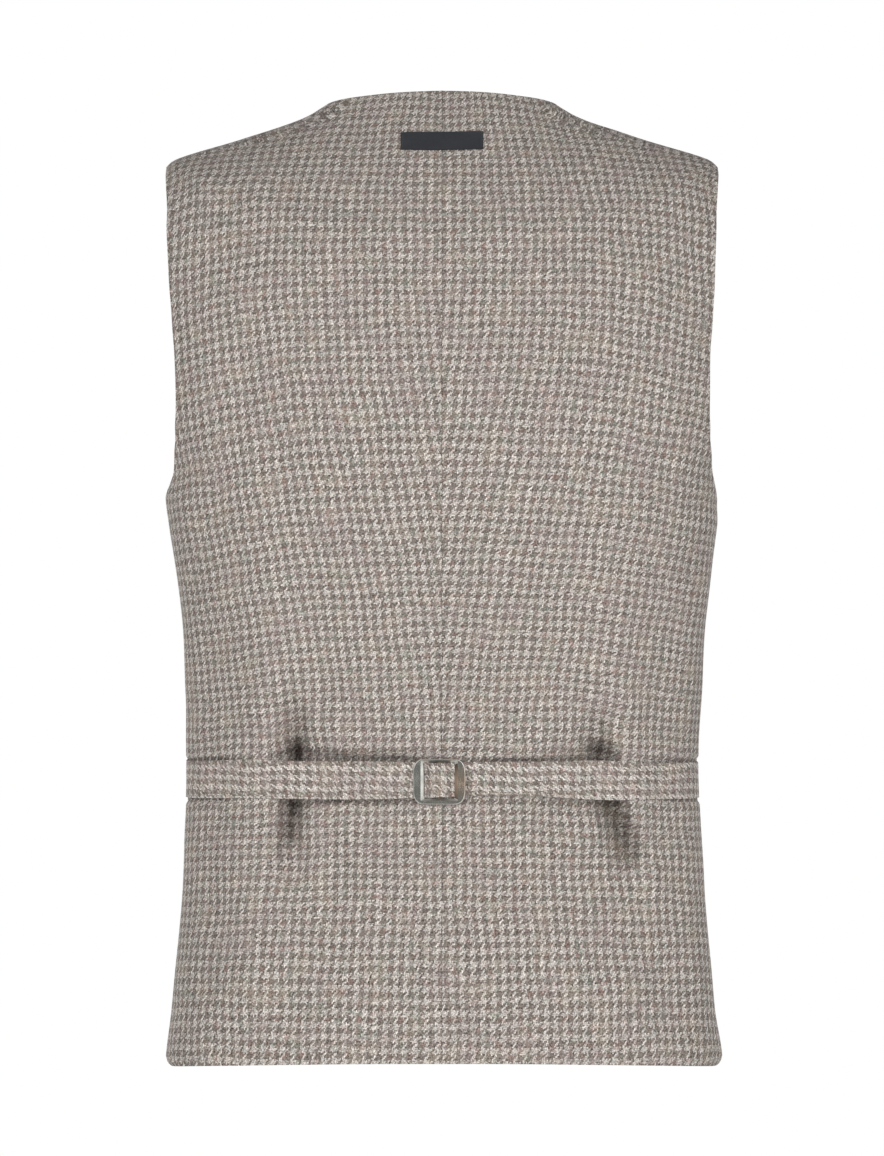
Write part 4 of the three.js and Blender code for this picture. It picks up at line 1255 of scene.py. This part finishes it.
def sewStitches(name, places, along, out, lengths, radius, finish, flatness=0.8, uneven=0.1, seed=1):
    mesh = bpy.data.meshes.new(name)
    mesh.from_pydata((np.asarray(places) * millimetre).tolist(), [], [])
    for key, values in (("along", along), ("out", out)):
        flat = np.asarray(values, np.float32).reshape(-1)
        mesh.attributes.new(key, "FLOAT_VECTOR", "POINT").data.foreach_set("vector", flat)
    lengths = np.broadcast_to(lengths, (len(places),)) * millimetre
    mesh.attributes.new("length", "FLOAT", "POINT").data.foreach_set("value", lengths.astype(np.float32))
    piece = linked(name, mesh)
    modifier = piece.modifiers.new("stitches", "NODES")
    modifier.node_group = stitching
    values = {
        "Thread Radius": radius * millimetre, "Flatness": flatness, "Uneven": uneven, "Seed": seed,
        "Finish": finish,
    }
    for key, value in values.items():
        modifier[stitchInputs[key]] = value
    evaluated = piece.evaluated_get(bpy.context.evaluated_depsgraph_get())
    sewn = bpy.data.meshes.new_from_object(evaluated)
    piece.modifiers.clear()
    piece.data = sewn
    sewn.name = name
    return piece


def evenStitches(path, outs, pitch):  # points along a path at an even pitch, with their direction and outside
    path, outs = np.asarray(path), np.asarray(outs)
    run = pathLengths(path)
    at = np.arange(pitch / 2, run[-1], pitch)

    def along(values, places):
        return np.stack([np.interp(places, run, values[:, k]) for k in range(3)], axis=-1)

    direction = along(path, at + 0.3) - along(path, at - 0.3)
    direction = direction / np.maximum(np.linalg.norm(direction, axis=-1, keepdims=True), 1e-6)
    return along(path, at), direction, along(outs, at)


sewing = {
    "strapPitch": 2.9, "strapStitch": 1.9, "strapThread": 0.24,
    "strapBreak": 12,  # no stitch over a longer gap
    "labelPitch": 1.15, "labelStitch": 0.8, "labelThread": 0.14,
    "holeLength": 17, "holeWidth": 2.3, "holePitch": 0.42, "holeStitch": 1.15, "holeThread": 0.19,
    "holeShank": 1.5,  # from a hole's outer end to the button's middle
    "buttonStrand": 0.34, "buttonThread": 0.3,
    "edgeIn": 3.0, "edgePitch": 4.2, "edgeStitch": 1.3, "edgeThread": 0.15,
}
woolThread = threadMaterial("woolThread", paint(222, 213, 204), paint(188, 177, 166))
# a darker copy of the wool thread for the left strap's stitches: painted shade in the stitch groove
paintedShadeWoolThread = threadMaterial("paintedShadeWoolThread", paint(126, 116, 108), paint(92, 83, 76))
navyThread = threadMaterial("navyThread", paint(70, 72, 84), paint(40, 42, 52))
brownThread = threadMaterial("brownThread", paint(104, 88, 76), paint(74, 60, 50))

strapSewing = []
for (seam, seamOut), hand, thread in zip(strapSeams, ("Left", "Right"), (paintedShadeWoolThread, woolThread)):
    gaps = np.where(np.linalg.norm(np.diff(seam, axis=0), axis=-1) > sewing["strapBreak"])[0] + 1
    sewn = []
    for run in np.split(np.arange(len(seam)), gaps):
        sewn.append(evenStitches(seam[run] + seamOut[run] * 0.02, seamOut[run], sewing["strapPitch"]))
    places, along, out = (np.concatenate([s[k] for s in sewn]) for k in range(3))
    name, length, radius = f"strapSewing{hand}", sewing["strapStitch"], sewing["strapThread"]
    strapSewing.append(sewStitches(name, places, along, out, length, radius, thread, seed=3))

sewn = []
rows = np.abs(labelUps) < label["height"] / 2 - label["sewnShort"]
for atX in (-label["sewnIn"], label["sewnIn"]):
    k = int(np.argmin(np.abs(labelXs - atX)))
    sewn.append(evenStitches(labelOuter[rows, k], labelOut[rows, k], sewing["labelPitch"]))
places, along, out = (np.concatenate([s[k] for s in sewn]) for k in range(3))
labelSewing = sewStitches(
    "labelSewing", places, along, out, sewing["labelStitch"], sewing["labelThread"], navyThread, seed=5)

places, along, out = [], [], []
for middle, turnedAxes, axes, up in buttonPlaces:  # two bars of three strands through the four holes
    for hole in (-1, 1):
        for strand in (-1, 0, 1):
            high = button["wall"] - button["dish"] + 0.22 - 0.06 * abs(strand)
            spot = np.array((hole * button["holeOut"] + strand * sewing["buttonStrand"], 0, high))
            places.append(spot @ turnedAxes + middle)
            along.append(turnedAxes[1])
            out.append(turnedAxes[2])
buttonSewing = sewStitches(
    "buttonSewing", places, along, out, button["holeOut"] * 2 + 1.3, sewing["buttonThread"], brownThread,
    uneven=0.03, seed=7)

places, along, out = [], [], []
halfLength, halfWidth = sewing["holeLength"] / 2, sewing["holeWidth"] / 2
stretch = np.arange(-halfLength, halfLength, sewing["holePitch"])
ring = [(x, y * halfWidth, 0.0, y) for y in (-1, 1) for x in stretch]
ring += [(s * (halfLength + halfWidth * math.cos(a)), halfWidth * math.sin(a), s * math.cos(a), math.sin(a))
         for s in (-1, 1) for a in np.linspace(-1.4, 1.4, 9)]
for middle, turnedAxes, (across, rise, outward), up in buttonPlaces:  # worked buttonholes
    for x, y, dx, dy in ring:
        turn = turnAtFront(up, x + halfLength - sewing["holeShank"])
        atUp = np.array(up + y)
        spot, spotOut = clothFace(1, atUp, turn, frontLift(1, atUp, turn))
        places.append(spot - spotOut * 0.02)
        along.append(across * dx + rise * dy)
        out.append(spotOut)
buttonholes = sewStitches(
    "buttonholeSewing", places, along, out, sewing["holeStitch"], sewing["holeThread"], brownThread, seed=11)

places, along, out = [], [], []
for side in (1, -1):  # pick stitches along the closing edge, V neck and hem
    rows = panelRows(4, 2.5)[:, None]
    rows = rows[(rows[:, 0] > 0.02) & (rows[:, 0] < 3.97)]
    up, turn = frontPlace(rows, np.zeros_like(rows))
    step = np.linalg.norm(formPoint(up, turn) - formPoint(up, turn - 1.0), axis=-1)
    turn = turn - sewing["edgeIn"] / step
    spot, spotOut = clothFace(side, up, turn, frontLift(side, up, turn))
    stitches = evenStitches(spot[:, 0] - spotOut[:, 0] * 0.05, spotOut[:, 0], sewing["edgePitch"])
    for values, found in zip((places, along, out), stitches):
        values.extend(found)
edgeSewing = sewStitches(
    "frontEdgeSewing", places, along, out, sewing["edgeStitch"], sewing["edgeThread"], woolThread, seed=13)

sewnPieces = (
    *((sewn, "strap") for sewn in strapSewing), (labelSewing, "label"), (buttonSewing, "button"),
    (buttonholes, "cloth"), (edgeSewing, "cloth"),
)
for piece, slotName in sewnPieces:
    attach(piece, "root")
    print(piece.name, len(piece.data.polygons), "faces")
print("sewing done")

# Each panel's area, kept no larger than the size of its flat cut; nothing further is done with it
for node, (piece, size, area) in panels.items():
    region, hand = node.split("_")
    area = min(area, size[0] * size[1])

# Camera at the photograph's angle: level, behind the back
camera = {"away": 4.5, "height": -0.2726, "scale": 0.62, "plane": 50, "rows": 1156}
view = bpy.data.cameras.new("view")
view.sensor_fit = "VERTICAL"
frameHeight = camera["rows"] * camera["scale"] * millimetre
view.angle = 2 * math.atan(frameHeight / 2 / (camera["away"] - camera["plane"] * millimetre))
cameraObject = linked("view", view)
cameraObject.location = (0, camera["away"], camera["height"])
cameraObject.rotation_euler = (math.pi / 2, 0, math.pi)
bpy.context.scene.camera = cameraObject

# Plain studio: white surround, softer light from it, and large soft boxes before and behind
studio = {
    "surround": 0.27, "surroundTint": (1, 0.99, 0.98, 1), "floorDrop": 0.9, "floorHalf": 3.0,
    "aim": (0, 0, -0.28),
    "boxes": (  # x, y, z, side, watts
        (1.66, 3.55, 0.24, 1.8, 63.5), (-1.66, 3.55, 0.28, 1.8, 62.5),
        (2.3, -3.2, 0.30, 1.6, 76), (-2.0, -3.4, 0.20, 1.8, 58),
        (-2.32, 1.31, -0.475, 0.5, 1.35),
    ),
}
world = bpy.data.worlds.new("studio")
world.use_nodes = True
bpy.context.scene.world = world
air = world.node_tree
air.nodes.clear()
seen = put(air, "ShaderNodeLightPath").outputs["Is Camera Ray"]
white = put(air, "ShaderNodeBackground", {"Color": (1, 1, 1, 1), "Strength": 1.0}).outputs[0]
tint, strength = studio["surroundTint"], studio["surround"]
soft = put(air, "ShaderNodeBackground", {"Color": tint, "Strength": strength}).outputs[0]
sky = put(air, "ShaderNodeMixShader", {0: seen, 1: soft, 2: white}).outputs[0]
put(air, "ShaderNodeOutputWorld", {"Surface": sky})
for k, (x, y, z, size, watts) in enumerate(studio["boxes"]):
    lamp = bpy.data.lights.new(f"softBox{k}", "AREA")
    lamp.shape, lamp.size, lamp.energy = "SQUARE", size, watts
    box = linked(f"softBox{k}", lamp)
    box.location = (x, y, z)
    aim = Vector(studio["aim"]) - box.location
    box.rotation_euler = aim.to_track_quat("-Z", "Y").to_euler()

half = studio["floorHalf"]
floorZ = sections["frontZ"][0] * millimetre - studio["floorDrop"]
floorCorners = [(x, y, floorZ) for x, y in ((-half, -half), (half, -half), (half, half), (-half, half))]
floorMesh = bpy.data.meshes.new("floor")
floorMesh.from_pydata(floorCorners, [], [(0, 1, 2, 3)])
floorPaint, floorTree, floorFinish = newMaterial("floorPaint", 0.9)
floorFinish.inputs["Base Color"].default_value = (0.86, 0.86, 0.85, 1)
floorMesh.materials.append(floorPaint)
floor = linked("floor", floorMesh)
bpy.context.scene.view_settings.view_transform = "Standard"
print("studio set")
